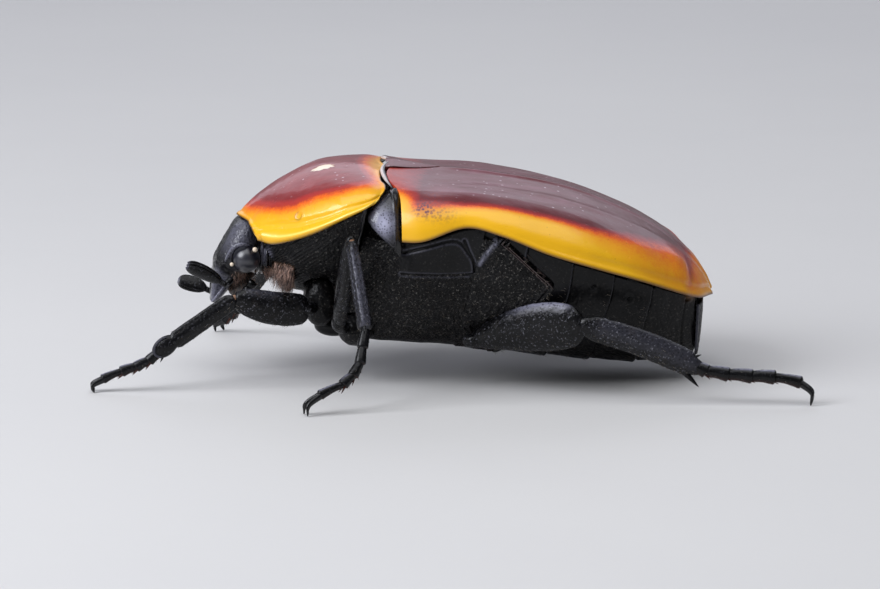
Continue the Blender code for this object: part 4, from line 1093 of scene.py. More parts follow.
def ceiling(table, x, thickness):
    """How high the trunk may reach under a shell of the given thickness."""
    slope = (read(table, x + 0.1) - read(table, x - 0.1)) / 0.2
    return read(table, x) - (thickness + 0.2) * np.sqrt(1 + slope**2) - 0.1


def body_trunk(x, lower):
    """The trunk under the wing cases."""
    inset, bottom, power, lean = read(BELLY, x)
    plate_x = np.maximum(x, ELYTRON_BASE_X)
    half_width, edge_z = read(ELYTRON_EDGE, plate_x)
    top = ceiling(SUTURE, plate_x, 0.55)
    return trunk(x, half_width - inset, top, edge_z, bottom, power, lean, 0.4, lower)


def make_thorax(finish):
    """Middle and hind thorax: smooth side plates over a chest of pitted, netted cuticle."""
    surface, girth = body_trunk(np.linspace(-4.6, THORAX_END + 0.14, 210), 170)
    x, _, z = surface.xyz
    seam = np.min([line_distance(x, z, line) for line in SEAMS], axis=0)
    plate = ramp(z, 5.9, 6.02) * ramp(-x, -1.0, -0.85) * ramp(x, -2.9, -2.5)
    plate = np.maximum(plate, ramp(z, 6.0, 6.3) * ramp(x, 0.4, 0.6))
    chest = (1 - plate) * ramp(z, 1.6, 2.3)
    height = -0.07 * net(x / 0.2, girth / 0.17, 3) * chest
    height += 0.04 * plate * ramp(seam, 0.05, 0.2) - 0.1 * bell(seam, 0.05)
    height -= 0.02 * pits(x / 0.3, girth / 0.26, 4, 0.22) * plate
    height += 0.02 * ripples(surface.grid, 1.3, 12)
    surface.push(height * ramp(girth, 0.0, 0.5))
    sockets(surface, *COXAE["middle"], 0.1, (0.1, 0.5, 0.86))
    # Painted highlight along the raised lips of the seams
    lip = 0.12 * bell(seam - 0.12, 0.04) * ramp(seam, 0.06, 0.1)
    shape = Shape().add(surface, smooth=0.85 * plate + 0.02, pale=lip)
    shape.add(ball(KNOB_CENTRE, KNOB_HALF_AXES, 40, 60), smooth=1)
    shape.piece("thorax_walls", finish, "black_cuticle", "thorax")
    return surface, chest


def make_abdomen(finish):
    """The ringed hind body: each plate laps a little over the next and bears a row of bristles."""
    rows = np.linspace(ABDOMEN_START - 0.08, ABDOMEN_END, 340)
    surface, girth = body_trunk(rows, ABDOMEN_STEPS)
    x, _, z = surface.xyz
    rows = np.broadcast_to(rows[:, None], x.shape)
    bowed = rows - 0.16 * np.sin(math.pi * ramp(z, 2.5, 7.5)) + 0.08
    ends = [ABDOMEN_START - 1.2, 3.6] + STERNITE_ENDS + [ABDOMEN_END + 0.3]
    share = np.zeros_like(x)
    groove = np.full(x.shape, 9.0)
    for start, end in zip(ends, ends[1:]):
        inside = (bowed >= start) & (bowed < end)
        share = np.where(inside, (bowed - start) / (end - start), share)
        groove = np.minimum(groove, np.abs(bowed - end))
    upper = ramp(z, 3.2, 5.6)
    height = 0.1 * share**1.5 - 0.07 - 0.09 * bell(groove, 0.04)
    height -= 0.03 * pits(rows / 0.3, girth / 0.26, 6, 0.24) * (0.3 + 0.7 * (1 - upper))
    for place_x, place_z in SPIRACLES:
        away = np.hypot(x - place_x, z - place_z)
        height += 0.04 * bell(away - 0.17, 0.08) - 0.12 * bell(away, 0.1)
    height += 0.015 * ripples(surface.grid, 1.1, 13)
    turn = np.arange(-ROOF_STEPS, ABDOMEN_STEPS)[None, :] / (ABDOMEN_STEPS - 1)
    turn = both_sides(turn)
    reach = np.clip((turn - COXA_PLATE_TURN[0]) / (COXA_PLATE_TURN[1] - COXA_PLATE_TURN[0]), 0, 1)
    under_plate = ramp(read(COXA_PLATE_BACK, reach) - 0.02 - rows, 0.0, 0.06) * (turn > 0)
    under_plate = under_plate * ramp(0.99 - turn, 0, 0.02)
    height = height * (1 - under_plate) - 0.2 * under_plate
    surface.push(height * ramp(girth, 0.0, 0.5))
    # Painted highlight along the rear edge of each plate
    edge = 0.1 * bell(share - 0.985, 0.012) * ramp(z, 3.0, 4.0)
    shape = Shape().add(surface, smooth=0.6 + 0.3 * upper, pale=edge, tan=0.4 * blot(x, z, ABDOMEN_TAN))
    shape.piece("abdomen_rings", finish, "black_cuticle", "abdomen")
    return surface, share, turn


def make_coxa_plates(finish):
    """The broad hind coxae, curved plates with a pointed upper corner."""
    plates = []
    for word, side in SIDES.items():
        share, reach = sheet(COXA_PLATE_ROWS, 190)
        first = ABDOMEN_START - 0.1
        x = first + (read(COXA_PLATE_BACK, reach) + 0.02 - first) * share
        turn = COXA_PLATE_TURN[0] + (COXA_PLATE_TURN[1] - COXA_PLATE_TURN[0]) * reach
        inset, bottom, power, lean = read(BELLY, x)
        half_width, shoulder = read(ELYTRON_EDGE, x)
        fall = math.pi / 2 * turn
        y = (half_width - inset) * np.cos(fall) ** (2 / power)
        z = shoulder - 0.25 - (shoulder - 0.25 - bottom) * np.sin(fall) ** (2 / power)
        surface = Surface(places(x + lean * (z - LEAN_LEVEL), side * y, z), flip=side < 0)
        from_front = surface.reach(0)
        from_back = from_front[-1:] - from_front
        height = 0.06 - 0.06 * net(x / 0.24, surface.reach(1) / 0.2, 7) * ramp(from_back, 0.1, 0.5)
        height += 0.05 * bell(from_back - 0.07, 0.06) + 0.05 * bell(from_back - 0.34, 0.07)
        height -= 0.04 * bell(from_back - 0.2, 0.06)
        height -= 0.04 * bell(from_front, 0.07)
        lip = line_distance(surface.xyz[0], z, COXA_LIP)
        height += 0.12 * bell(lip, 0.12)
        height += 0.015 * ripples(surface.grid, 1.0, 14)
        surface.push(height)
        # Painted highlights on the lip and the two rear ridges, which also bear their own tan
        rims = bell(from_back - 0.06, 0.04) + 0.7 * bell(from_back - 0.33, 0.05)
        rims = rims * ramp(z, 5.2, 5.9)
        smooth = 0.02 + 0.6 * bell(from_back, 0.4) + 0.7 * bell(lip, 0.16)
        shape = Shape().add(surface, smooth=smooth, pale=0.3 * bell(lip, 0.11) + 0.2 * rims,
                            tan=0.22 * rims)
        name = "coxa_hind_" + word
        shape.piece("plate_" + name, finish, "black_cuticle", name, thickness=0.4)
        plates.append(surface)
    return plates


def make_pygidium(finish):
    """The last plate, which closes the rear under the wing cases."""
    drop, across = sheet(70, 121, -1)
    z = PYGIDIUM[0][0] + (PYGIDIUM[-1][0] - PYGIDIUM[0][0]) * drop
    x, half_width = read(sorted(PYGIDIUM), z)
    y = half_width * across
    surface = Surface(places(x - 0.03 * y * y, y, z), flip=True)
    inner = ramp(1 - np.abs(across), 0.02, 0.12)
    height = -0.03 * net(y / 0.2, z / 0.2, 8, 0.1) + 0.01 * ripples(surface.grid, 0.9, 15)
    surface.push(height * inner + 0.03 * (1 - inner))
    # Painted highlight round the rim of the plate
    shape = Shape().add(surface, smooth=0.9 - 0.5 * inner, pale=0.12 * (1 - inner))
    shape.piece("pygidium_plate", finish, "black_cuticle", "pygidium", thickness=0.12)
    return surface


def make_prothorax(finish):
    """The black flank under the shield, wrinkled in front, with a tan patch behind the neck."""
    x = np.linspace(PROTHORAX[0][0], PROTHORAX[-1][0] + 0.15, 190)
    width, bottom, power = read(PROTHORAX, x)
    shoulder = read(PRONOTUM_MARGIN, x)[1] + 0.1
    top = ceiling(PRONOTUM_MIDLINE, x, 0.5) - 0.4
    surface, girth = trunk(x, width, top, shoulder, bottom, power, PROTHORAX_LEAN, 0.3, 110)
    x, _, z = surface.xyz
    sweep = girth / 0.17 + 0.7 * np.sin(x * 2.1) + 0.8 * ripples(surface.grid, 0.9, 21)
    shown = ramp(girth, 0.1, 0.4)
    height = 0.03 * np.sin(sweep * math.pi) * shown * ramp(-x, 5.0, 7.0)
    height -= 0.035 * net(x / 0.24, girth / 0.2, 9, 0.08) * shown * ramp(x, -7.4, -6.2)
    height += 0.02 * ripples(surface.grid, 1.2, 22)
    patch = ramp(-x, 7.85, 8.15) * ramp(x, -9.2, -8.9) * (1 - ramp(z, 5.7, 6.0))
    surface.push(height * ramp(girth, 0.0, 0.3))
    sockets(surface, *COXAE["front"], 0.1, (0.1, 0.3, 0.95))
    # Painted highlight on the flank just behind the head
    lit = bell(x + 9.2, 0.16) * bell(z - 6.15, 0.4)
    shape = Shape().add(surface, smooth=0.4 * ramp(-x, 6.5, 8.0), pale=0.6 * lit, tan=0.8 * patch)
    shape.piece("prothorax_flanks", finish, "black_cuticle", "prothorax")
    return surface


def make_coxae(finish):
    """The rounded first joints of the front and middle legs, set in their sockets."""
    for pair, (centre, half_axes) in COXAE.items():
        for word, side in SIDES.items():
            surface = ball(mirrored(centre, side), half_axes)
            x, _, z = surface.xyz
            dents = pits(x / 0.2, z / 0.2, 10, 0.3)
            surface.push(-0.03 * dents + 0.02 * ripples(surface.grid, 0.9, 23))
            name = "_".join(("coxa", pair, word))
            Shape().add(surface, smooth=0.5).piece("joint_" + name, finish, "black_cuticle", name)


def make_mesepimera(finish):
    """The bulging glossy plate at each shoulder, and the rim that runs up from it."""
    level, middle_x, half_length, middle_y, half_depth = smooth_path(MESEPIMERON, 110).T[:, :, None]
    turn = turns(110)
    forward, outward = blunt(np.sin(turn), 0.8), blunt(np.cos(turn), 0.8)
    for word, side in SIDES.items():
        x = middle_x + half_length * forward
        y = side * (middle_y + half_depth * outward)
        surface = Surface(places(x, y, level), closed=True, flip=side > 0)
        x, _, z = surface.xyz
        from_rear = middle_x + half_length - x
        rough = np.clip(ramp(from_rear, 1.1, 1.6) + (1 - ramp(z, 7.1, 7.7)), 0.12, 1)
        height = 0.006 * ripples(surface.grid, 0.8, 24) - 0.025 * pits(x / 0.17, z / 0.17, 27, 0.25) * rough
        height -= 0.07 * bell(from_rear - 0.36, 0.05) * (outward > 0)
        surface.push(height)
        # Painted highlight on the bulge of the plate
        lit = 0.95 * blot(x, z, MESEPIMERON_SHINE)
        shape = Shape().add(surface, smooth=0.95 - 0.6 * rough, pale=lit)
        radii = read(SHOULDER_RIM_RADII, shares(90))
        rim = tube(smooth_path(mirrored(SHOULDER_RIM, side), 90), radii, radii * 1.15, (0, 0.3, 1), 18)
        # Painted highlight on the forward and upper faces of the rim, in lavender and cream
        lit = 0.9 * (1 - ramp(shares(90), 0.65, 0.9))[:, None]
        lit = lit * ramp(-rim.normals[..., 0] + 0.6 * rim.normals[..., 2], 0.3, 0.9)
        shape.add(rim, smooth=0.95, pale=lit, cream=0.5 * lit)
        name = "mesepimeron_" + word
        shape.piece("plate_" + name, finish, "black_cuticle", name)


def capsule_surface():
    """The plain head capsule, its share down the face and how far each place faces up."""
    front_x, front_z, back_x, back_z, half_width = smooth_path(HEAD, 150).T[:, :, None]
    turn = turns(170)[None, :]
    up = blunt(np.cos(turn), 0.75)
    x = (front_x + back_x) / 2 + (front_x - back_x) / 2 * up
    z = (front_z + back_z) / 2 + (front_z - back_z) / 2 * up
    y = half_width * blunt(np.sin(turn), 0.75)
    return Surface(places(x, y, z), closed=True, flip=True), shares(150)[:, None], up


def make_head(finish, eye):
    """The capsule, the ridges over the eyes, the clypeus with its raised rim, and the eyes."""
    surface, share, up = capsule_surface()
    x, y, z = surface.xyz
    share = np.broadcast_to(share, x.shape)
    face = ramp(up, -0.1, 0.3)
    side_face = ramp(np.abs(y), 1.2, 1.6)
    clypeus = ramp(share, 0.52, 0.6)
    face_pits = pits(np.abs(y) / 0.16 + 40, share * 36, 25, 0.28)
    height = -0.035 * (face_pits * (1 - side_face) + pits(x / 0.15, z / 0.15, 28, 0.26) * side_face)
    height *= 1 - 0.9 * clypeus
    height -= 0.07 * clypeus * bell(up + 0.05, 0.4) * side_face
    height += 0.06 * bell(share - 0.93, 0.03) * face
    height -= 0.04 * bell(share - 0.6, 0.018) * face
    height += 0.05 * face * bell(y, 0.3) * ramp(share, 0.2, 0.4) * (1 - clypeus)
    height += 0.012 * ripples(surface.grid, 0.9, 26)
    surface.push(height)
    sockets(surface, EYE_CENTRE, EYE_HALF_AXES, 0.05, (0.35, 0.9, -0.2))
    x, y, z = surface.xyz
    # Painted highlight on the vertex and painted reflection on the sides of the clypeus
    vertex = 0.2 * (1 - ramp(share, 0.3, 0.5)) * ramp(np.abs(y), 0.8, 1.5)
    pale = np.clip(vertex + 0.3 * clypeus * side_face, 0, 1)
    tan = 0.5 * blot(x, z, (-10.6, 5, 0.3, 0.3)) * (np.abs(y) > 0.9)
    shape = Shape().add(surface, smooth=0.2 + 0.75 * clypeus, pale=pale, tan=tan)
    for side in SIDES.values():
        for points, profile, pale in HEAD_RIDGES:
            radii = read(profile, shares(50))
            ridge = tube(smooth_path(mirrored(points, side), 50), radii, radii, (0, 0, 1), 18)
            shape.add(ridge, smooth=0.8, pale=pale)
        for centre, size in HEAD_SPOTS:
            spot = ball(mirrored(centre, side), (size, size * 0.8, size), 16, 24)
            shape.add(spot, smooth=1, cream=1)
    shape.piece("head_capsule", finish, "black_cuticle", "head")
    for word, side in SIDES.items():
        lens = ball(mirrored(EYE_CENTRE, side), EYE_HALF_AXES, 60, 90)
        Shape().add(lens).piece("lens_eye_" + word, eye, "eye", "eye_" + word)
    return surface


def make_antennae(finish):
    """A thick first joint, small beads, and a club of three long leaves."""
    share = np.concatenate([np.linspace(-0.03, 0.9, 40), np.linspace(0.91, 1, 16)])
    leaf = read(ANTENNA_LEAF, share)
    for word, points in ANTENNAE.items():
        root, bend, club_root, club_tip = np.array(points, float)
        shape = Shape()
        shape.add(bead(root, bend, ANTENNA_BEAD, 24, 0.17, 0.16, (0, 0, 1), 20), smooth=0.5)
        stalk = smooth_path([bend, (bend + club_root) / 2 + np.array([0, 0, -0.04]), club_root], 5)
        for start, end in zip(stalk, stalk[1:]):
            lap = (end - start) * 0.12
            joint = bead(start - lap, end + lap, ANTENNA_BEAD, 14, 0.15, 0.15, (0, 0, 1), 16)
            shape.add(joint, smooth=0.5)
        run = club_tip - club_root
        along = unit(run)
        facing = np.array(ANTENNA_FACING) * np.array([1, SIDES[word], 1])
        wide = square_to(along, facing)
        thin = np.cross(along, wide)
        for order in (-1, 0, 1):
            fan = np.outer(order * 0.2 * (0.5 + 0.6 * share - 0.2 * share**2), thin)
            path = club_root + np.outer(share, run) + fan
            path += np.outer(0.05 * np.sin(math.pi * share), wide)
            blade = tube(path, leaf * (0.4 - 0.03 * abs(order)), leaf * 0.1, wide, 30)
            # Painted highlight at the tips of the leaves
            shape.add(blade, smooth=0.6, pale=0.25 * ramp(share, 0.9, 1.0)[:, None])
        name = "antenna_" + word
        shape.piece("jointed_" + name, finish, "leg_cuticle", name)


def make_mouth(black, mouth, neck_black):
    """Soft mouthparts, the palps, and the skin of the neck, which is rusty below."""
    swell = np.sin(math.pi * (0.1 + 0.8 * shares(40))) ** 0.6
    base = tube(smooth_path(MOUTH_AXIS, 40), 0.36 * swell, 1.0 * swell, (0, 0, 1), 48)
    base.push(0.05 * ripples(base.grid, 0.5, 31))
    Shape().add(base).piece("mouth_base", mouth, "mouth", "mouthparts")
    for word, side in SIDES.items():
        shape = Shape()
        points = mirrored(PALP, side)
        for start, end, radius in zip(points, points[1:], PALP_RADII):
            lap = (end - start) * 0.06
            joint = bead(start - lap, end + lap, PALP_BEAD, 18, radius, radius, (0, 1, 0), 18)
            shape.add(joint, smooth=0.8)
        shape.piece("jointed_palp_" + word, black, "leg_cuticle", "palp_" + word)
    swell = 1 + 0.04 * np.sin(shares(60) * 26)
    neck = tube(smooth_path(NECK_AXIS, 60), 1.06 * swell, 1.9 * swell, (0, 0, 1), 80)
    neck.push(0.03 * ripples(neck.grid, 0.4, 32))
    x, _, z = neck.xyz
    rust = 0.6 * (1 - ramp(z, 5.15, 5.5))
    # Painted highlight on the skin just behind the head
    collar_highlight = 0.35 * bell(x + 9.45, 0.12) * ramp(z, 5.6, 6.0)
    shape = Shape().add(neck, smooth=0.5, pale=collar_highlight, rust=rust, tan=0.35 * rust)
    shape.piece("neck_skin", neck_black, "mouth")
    return base, neck


def limb(start, end, profile, size, bow, dent, broad, sides, keel, seed):
    """A joint of a leg with its own section, pitted in the middle, and its share at each row."""
    low, high = profile[0][0], profile[-1][0]
    share = low + (high - low) * (0.5 - 0.5 * np.cos(math.pi * shares(120)))
    width, depth = read(profile, share)
    bowed = np.outer(bow * np.sin(math.pi * np.clip(share, 0, 1)), square_to(unit(end - start), broad))
    path = start + np.outer(share, end - start) + bowed
    surface = tube(path, size[0] * width, size[1] * depth, broad, sides)
    turn = turns(sides)[None, :]
    lengthwise = share[:, None] * np.linalg.norm(end - start) / 0.22 + 0 * turn
    middle = ramp(share, 0.03, 0.12)[:, None] * ramp(1 - share, 0.01, 0.08)[:, None]
    height = -dent * pits(lengthwise, (size[0] + size[1]) * turn / 0.16, seed, 0.26) * middle
    height += keel * size[1] * (np.abs(np.cos(turn)) ** 12) * middle
    surface.push(height + 0.006 * ripples(surface.grid, 0.7, seed))
    return surface, share


def make_tarsus(leg, black, claw_finish, hairs):
    """Five joints, each widest at its end with two short spines, and a pair of curved claws."""
    joints = np.array([LEGS[leg]["ankle"]] + LEGS[leg]["tarsus"], float)
    foot = np.array(LEGS[leg]["foot"], float)
    last = joints[-1]
    heading = unit(last - joints[-2])
    level = unit(heading * np.array([1, 1, 0]))
    sideways = np.array([-level[1], level[0], 0])
    stout = TARSUS_RADIUS[leg.split("_")[0]]
    share = shares(34)
    grain = np.cos(turns(26) * 6)
    shape = Shape()
    for index, (start, end) in enumerate(zip(joints, joints[1:])):
        radii = read(LAST_TARSUS_BEAD if index == 4 else TARSUS_BEAD, share) * stout
        along = unit(end - start)
        path = start - along * 0.09 + np.outer(share, end - start + along * 0.13)
        path += np.outer(0.05 * np.sin(math.pi * share), [0, 0, 1])
        surface = tube(path, radii * 0.95, radii, sideways, 26)
        surface.push(0.006 * grain[None, :] * ramp(share, 0.1, 0.3)[:, None])
        below = ramp(-surface.normals[..., 2], 0.3, 0.9)
        # Painted highlight on the tops of the joints; the rust underneath is their own colour
        above = ramp(surface.normals[..., 2], 0.72, 0.97) * ramp(share, 0.15, 0.5)[:, None]
        shape.add(surface, smooth=0.9 - 0.3 * below, rust=0.6 * below, pale=0.4 * above)
        hairs.scatter(surface, 8, below + 0.02, 0.14, 0.009, 0.6)
        if index == 4:
            continue
        for spread in (-1, 1):
            aside = sideways * spread * 0.1
            root = start + (end - start) * 0.86 + aside - np.array([0, 0, 0.1])
            tip = root + along * 0.26 + aside + np.array([0, 0, -0.17])
            spine = thorn(root, tip, along * 0.06, 0.07, 0.07, (0.3, 0.5, 0.8), 10)
            shape.add(spine, smooth=0.8, rust=0.8)
    shape.piece("joints_tarsus_" + leg, black, "leg_cuticle", "tarsus_" + leg)
    claws = Shape()
    radii = 0.15 * (1 - share) ** 0.6 + 0.028
    for spread in (-1, 1):
        aside = sideways * spread * CLAW_SPREAD
        ground = foot * np.array([1, 1, 0]) + np.array([0, 0, 0.03]) + aside
        bow = last + (foot - last) * 0.42 + aside * 0.75 + level * 0.3
        path = smooth_path([last - heading * 0.12 + aside * 0.25, bow, ground], 34)
        claws.add(tube(path, radii, radii * 0.75, (0, 0, 1), 16), smooth=0.9)
    tip = last + heading * 0.3 - np.array([0, 0, 0.12])
    claws.add(thorn(last, tip, heading * 0.02, 0.02, 0.02, (0, 0, 1), 10, core=0.05), smooth=0.8)
    claws.piece("claws_" + leg, claw_finish, "leg_cuticle", "tarsus_" + leg)


def add_front_end(shape, knee, ankle, after, side):
    """The swollen tip of a front shin, with a curved ridge over it and two low teeth outside."""
    along = unit(after - ankle)
    aside = square_to(along, (0, side, 0))
    up = np.cross(along, aside) * -side
    share = shares(40)
    swell = np.sqrt(np.clip(1 - (2 * share - 1) ** 2, 0, 1)) * 0.97 + 0.03
    middle = ankle + along * 0.4 + up * 0.06
    path = middle + np.outer((2 * share - 1) * 0.72, along)
    shape.add(tube(path, swell * 0.48, swell * 0.32, up, 36), smooth=0.75)
    turn = np.linspace(-0.6, 2.4, 40)
    arc = (middle + aside * 0.2 + np.outer(np.sin(turn) * 0.62, along)
           + np.outer(np.cos(turn) * 0.42, up))
    radii = 0.075 * np.sin(math.pi * (0.08 + 0.84 * share)) ** 0.5
    # A faint painted highlight along the curved ridge
    shape.add(tube(arc, radii, radii, aside, 14), smooth=0.9, pale=0.1)
    shin = unit(ankle - knee)
    for where, length in ((0.62, 0.2), (0.86, 0.25)):
        root = knee + (ankle - knee) * where + aside * 0.12
        tip = root + aside * length + shin * length
        shape.add(thorn(root, tip, shin * 0.05, 0.13, 0.1, (0, 0, 1), 14), smooth=0.8)
    root = middle + along * 0.3 - up * 0.3
    tip = root + along * 0.35 - up * 0.18
    shape.add(thorn(root, tip, along * 0.02, 0.08, 0.08, (0, 0, 1), 12), smooth=0.8)


def make_femur(leg, pair, broad, seed, black, hairs):
    """The thigh, with the small trochanter at its root."""
    root, base, knee = [np.array(LEGS[leg][name], float) for name in ("root", "base", "knee")]
    femur, share = limb(base, knee, FEMUR[pair], FEMUR_SIZE[pair], FEMUR_BOW[pair], FEMUR_PITS,
                        broad, 64, 0.1, seed)
    # Painted highlight on the upper side of the thigh
    lit = ramp(femur.normals[..., 2], 0.2, 0.75) * ramp(share, 0.35, 0.6)[:, None]
    lit = lit * ramp(1 - share, 0.03, 0.15)[:, None] * FEMUR_LIT[pair]
    shape = Shape().add(femur, smooth=0.4 + 0.4 * ramp(share, 0.92, 1.0)[:, None], pale=lit)
    path = smooth_path([root, base, base + (knee - base) * 0.12], 30)
    radii = read(TROCHANTER, shares(30)) * TROCHANTER_RADIUS[pair]
    shape.add(tube(path, radii, radii, (0, 0, 1), 28), smooth=0.3)
    shape.piece("joint_femur_" + leg, black, "leg_cuticle", "femur_" + leg)
    below = ramp(-femur.normals[..., 2], 0.3, 0.9)
    hairs.scatter(femur, 70, below + 0.05, 0.17, 0.008, 0.6)


def make_tibia(leg, pair, broad, seed, black, hairs):
    """The shin, with its spurs or its swollen front end."""
    knee, ankle = [np.array(LEGS[leg][name], float) for name in ("knee", "ankle")]
    side = SIDES[leg.split("_")[1]]
    tibia, share = limb(knee, ankle, TIBIA[pair], TIBIA_SIZE[pair], TIBIA_BOW[pair], TIBIA_PITS[pair],
                        broad, 56, 0.35, seed)
    _, side_face, up_face = np.moveaxis(tibia.normals, -1, 0)
    # Painted highlight on the side that faces out and up
    lit = TIBIA_LIT[pair] * ramp(side * side_face + 0.5 * up_face, 0.5, 1.0)
    lit = lit * ramp(share, 0.05, 0.2)[:, None]
    polish = 0.7 if pair == "front" else 0.35 + 0.4 * ramp(share, 0.92, 1.0)[:, None]
    shape = Shape().add(tibia, smooth=polish, pale=lit)
    along = unit(ankle - knee)
    wide = square_to(along, broad)
    if pair == "hind" and wide[2] < 0:
        wide = -wide
    half = TIBIA_SIZE[pair][0]
    for where, edge, length, radius in THORNS.get(pair, ()):
        outwards = wide * -edge
        start = knee + (ankle - knee) * where + outwards * half * 0.45 - along * 0.15
        tip = start + outwards * (half * 0.5 + length * 0.3) + along * length
        spur = thorn(start, tip, along * 0.04, radius, radius * 0.8, (0.3, 0.5, 0.8), 16)
        shape.add(spur, smooth=0.85)
    if pair == "front":
        add_front_end(shape, knee, ankle, np.array(LEGS[leg]["tarsus"][0], float), side)
    shape.piece("joint_tibia_" + leg, black, "leg_cuticle", "tibia_" + leg)
    under = ramp(-tibia.normals[..., 2], 0.1, 0.8) + 0.08
    hairs.scatter(tibia, 70, under, 0.16, 0.008, 0.7)


def make_leg(leg, seed, black, claw_finish, membrane, hairs):
    pair, word = leg.split("_")
    broad = np.array(BROAD[pair], float) * np.array([1, -SIDES[word], 1])
    make_femur(leg, pair, broad, seed, black, hairs)
    make_tibia(leg, pair, broad, seed + 10, black, hairs)
    base, knee, ankle = [np.array(LEGS[leg][name], float) for name in ("base", "knee", "ankle")]
    before, after = unit(knee - base), unit(ankle - knee)
    path = smooth_path([knee - before * 0.16, knee + after * 0.02, knee + after * 0.2], 16)
    radii = np.full(16, 0.19)
    skin = tube(path, radii, radii, broad, 24)
    Shape().add(skin).piece("knee_skin_" + leg, membrane, "mouth")
    make_tarsus(leg, black, claw_finish, hairs)


def make_trunk_bristles(thorax, abdomen, coxa_plates, pygidium, finish):
    """The short bristles of the chest, belly, hind coxae and pygidium."""
    hairs = Hairs(71)
    walls, netted = thorax
    hairs.scatter(walls, 1500, netted, 0.1, 0.007, 0.75)
    rings, share, turn = abdomen
    bands = bell(share - 0.85, 0.05) * (turn > 0.15) + 0.05 * (turn > 0.3)
    hairs.scatter(rings, 500, bands, 0.14, 0.007, 0.8)
    last_rows = 1.0 * (np.arange(COXA_PLATE_ROWS) >= COXA_PLATE_ROWS - 6)[:, None]
    for plate in coxa_plates:
        hairs.scatter(plate, 220, 1, 0.11, 0.007, 0.75)
        hairs.scatter(plate, 60, last_rows, 0.26, 0.009, 0.4)
    hairs.scatter(pygidium, 160, 1, 0.14, 0.008, 0.7)
    hairs.piece("bristles_trunk", finish)


def make_neck_hair(flank, skin, finish):
    """The tuft behind the head, from the flank and from the skin of the neck."""
    hairs = Hairs(72)
    x, y, z = flank.xyz
    front = ramp(-x, 7.9, 8.1) * ramp(x, -9.15, -8.95) * (1 - ramp(z, 5.6, 6.0))
    front = front * ramp(np.abs(y), 1.5, 2.2)
    hairs.scatter(flank, 1500, front, 0.85, 0.015, 0.8, 0.13, sweep=(-0.2, 0, -1))
    x, y, z = skin.xyz
    low = ramp(x, -9.6, -9.3) * (1 - ramp(z, 5.4, 5.8)) * (np.abs(y) > 0.8)
    hairs.scatter(skin, 260, low, 0.5, 0.012, 0.8, 0.15, sweep=(0.5, 0, -0.9))
    hairs.piece("hair_neck", finish)


def make_mouth_hair(base, head, finish):
    """The hair on the mouthparts and the cheeks."""
    hairs = Hairs(73)
    hairs.scatter(base, 320, 1, 0.3, 0.01, 0.45, 0.3, sweep=(-0.3, 0, -0.8))
    x, y, z = head.xyz
    cheek = blot(x, z, (-10.6, 4.95, 0.3, 0.3)) * (np.abs(y) > 0.9)
    hairs.scatter(head, 320, cheek, 0.28, 0.01, 0.6, 0.25, sweep=(-0.1, 0, -0.9))
    hairs.piece("hair_mouth", finish)


def make_camera():
    data = bpy.data.cameras.new("camera")
    data.lens = CAMERA_LENS
    data.sensor_width = SENSOR_WIDTH
    data.clip_start = NEAR_CLIP
    camera = linked("camera", data)
    back = Vector((0, -math.cos(CAMERA_ELEVATION), math.sin(CAMERA_ELEVATION)))
    camera.location = Vector(CAMERA_TARGET) * MM + back * CAMERA_DISTANCE * MM
    camera.rotation_euler = (math.pi / 2 - CAMERA_ELEVATION, 0, 0)
    bpy.context.scene.camera = camera


def make_lamp(name, place, size, power, colour):
    data = bpy.data.lights.new(name, "AREA")
    data.shape = "RECTANGLE"
    data.size, data.size_y = size[0] * MM, size[1] * MM
    data.energy = power
    data.color = colour
    lamp = linked(name, data)
    lamp.location = Vector(place) * MM
    lamp.rotation_euler = (Vector(LAMP_AIM) * MM - lamp.location).to_track_quat("-Z", "Y").to_euler()


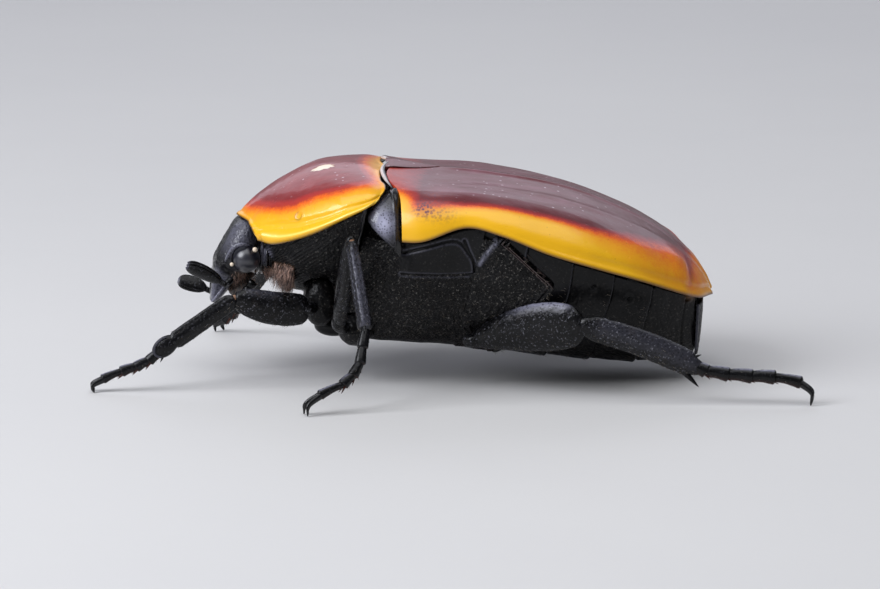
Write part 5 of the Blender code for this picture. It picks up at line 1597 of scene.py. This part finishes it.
def make_studio():
    """A pale floor, the lamps and pale air."""
    mesh = bpy.data.meshes.new("floor")
    shape = bmesh.new()
    bmesh.ops.create_grid(shape, x_segments=4, y_segments=4, size=1.5)
    shape.to_mesh(mesh)
    shape.free()
    mesh.materials.append(floor_finish())
    linked("floor", mesh)
    for name, settings in LAMPS.items():
        make_lamp(name, *settings)
    world = bpy.data.worlds.new("studio")
    world.use_nodes = True
    background = world.node_tree.nodes["Background"]
    background.inputs["Color"].default_value = AIR_COLOUR
    background.inputs["Strength"].default_value = AIR_STRENGTH
    bpy.context.scene.world = world
    bpy.context.scene.view_settings.view_transform = "Standard"


def main():
    shield = shell_finish("shield_cuticle", linear(124, 30, 32), linear(164, 44, 40),
                          linear(190, 112, 114), 0.6, 0.12, 0.34)
    cases = shell_finish("case_cuticle", linear(92, 20, 28), linear(140, 28, 32),
                         linear(164, 116, 132), 0.5, 0.2, 0.4)
    black = black_finish("black_cuticle", linear(152, 148, 142), 0.65, 0.34, 0.2, 0.03, 0.2, 0.05)
    legs = black_finish("leg_cuticle", linear(204, 204, 218), 0.4, 0.24, 0.15, 0.015, 0.2, 0.1)
    gloss = black_finish("gloss_cuticle", linear(70, 70, 84), 0.35, 0.24, 0.12, 0.012, 0.38, 0.25)
    claws = black_finish("claw_cuticle", linear(90, 44, 24), 0.3, 0.22, 0.12, 0.006, 0.35, 0.2)
    membrane = membrane_finish()
    gold = hair_finish("golden_hair", linear(50, 32, 25), linear(206, 168, 150))
    tan = hair_finish("tan_hair", linear(58, 50, 42), linear(134, 122, 106))
    mouth_skin = hair_finish("mouth_skin", linear(24, 18, 15), linear(70, 50, 36))
    make_elytra(cases)
    make_scutellum(cases)
    make_pronotum(shield)
    thorax = make_thorax(black)
    abdomen = make_abdomen(black)
    coxa_plates = make_coxa_plates(black)
    pygidium = make_pygidium(black)
    flank = make_prothorax(black)
    make_coxae(black)
    make_mesepimera(gloss)
    head = make_head(gloss, eye_finish())
    make_antennae(legs)
    mouth, neck = make_mouth(legs, mouth_skin, gloss)
    leg_hairs = Hairs(70)
    for index, leg in enumerate(LEGS):
        make_leg(leg, 40 + index, legs, claws, membrane, leg_hairs)
    leg_hairs.piece("bristles_legs", tan)
    make_trunk_bristles(thorax, abdomen, coxa_plates, pygidium, tan)
    make_neck_hair(flank, neck, gold)
    make_mouth_hair(mouth, head, gold)
    make_studio()
    make_camera()


main()
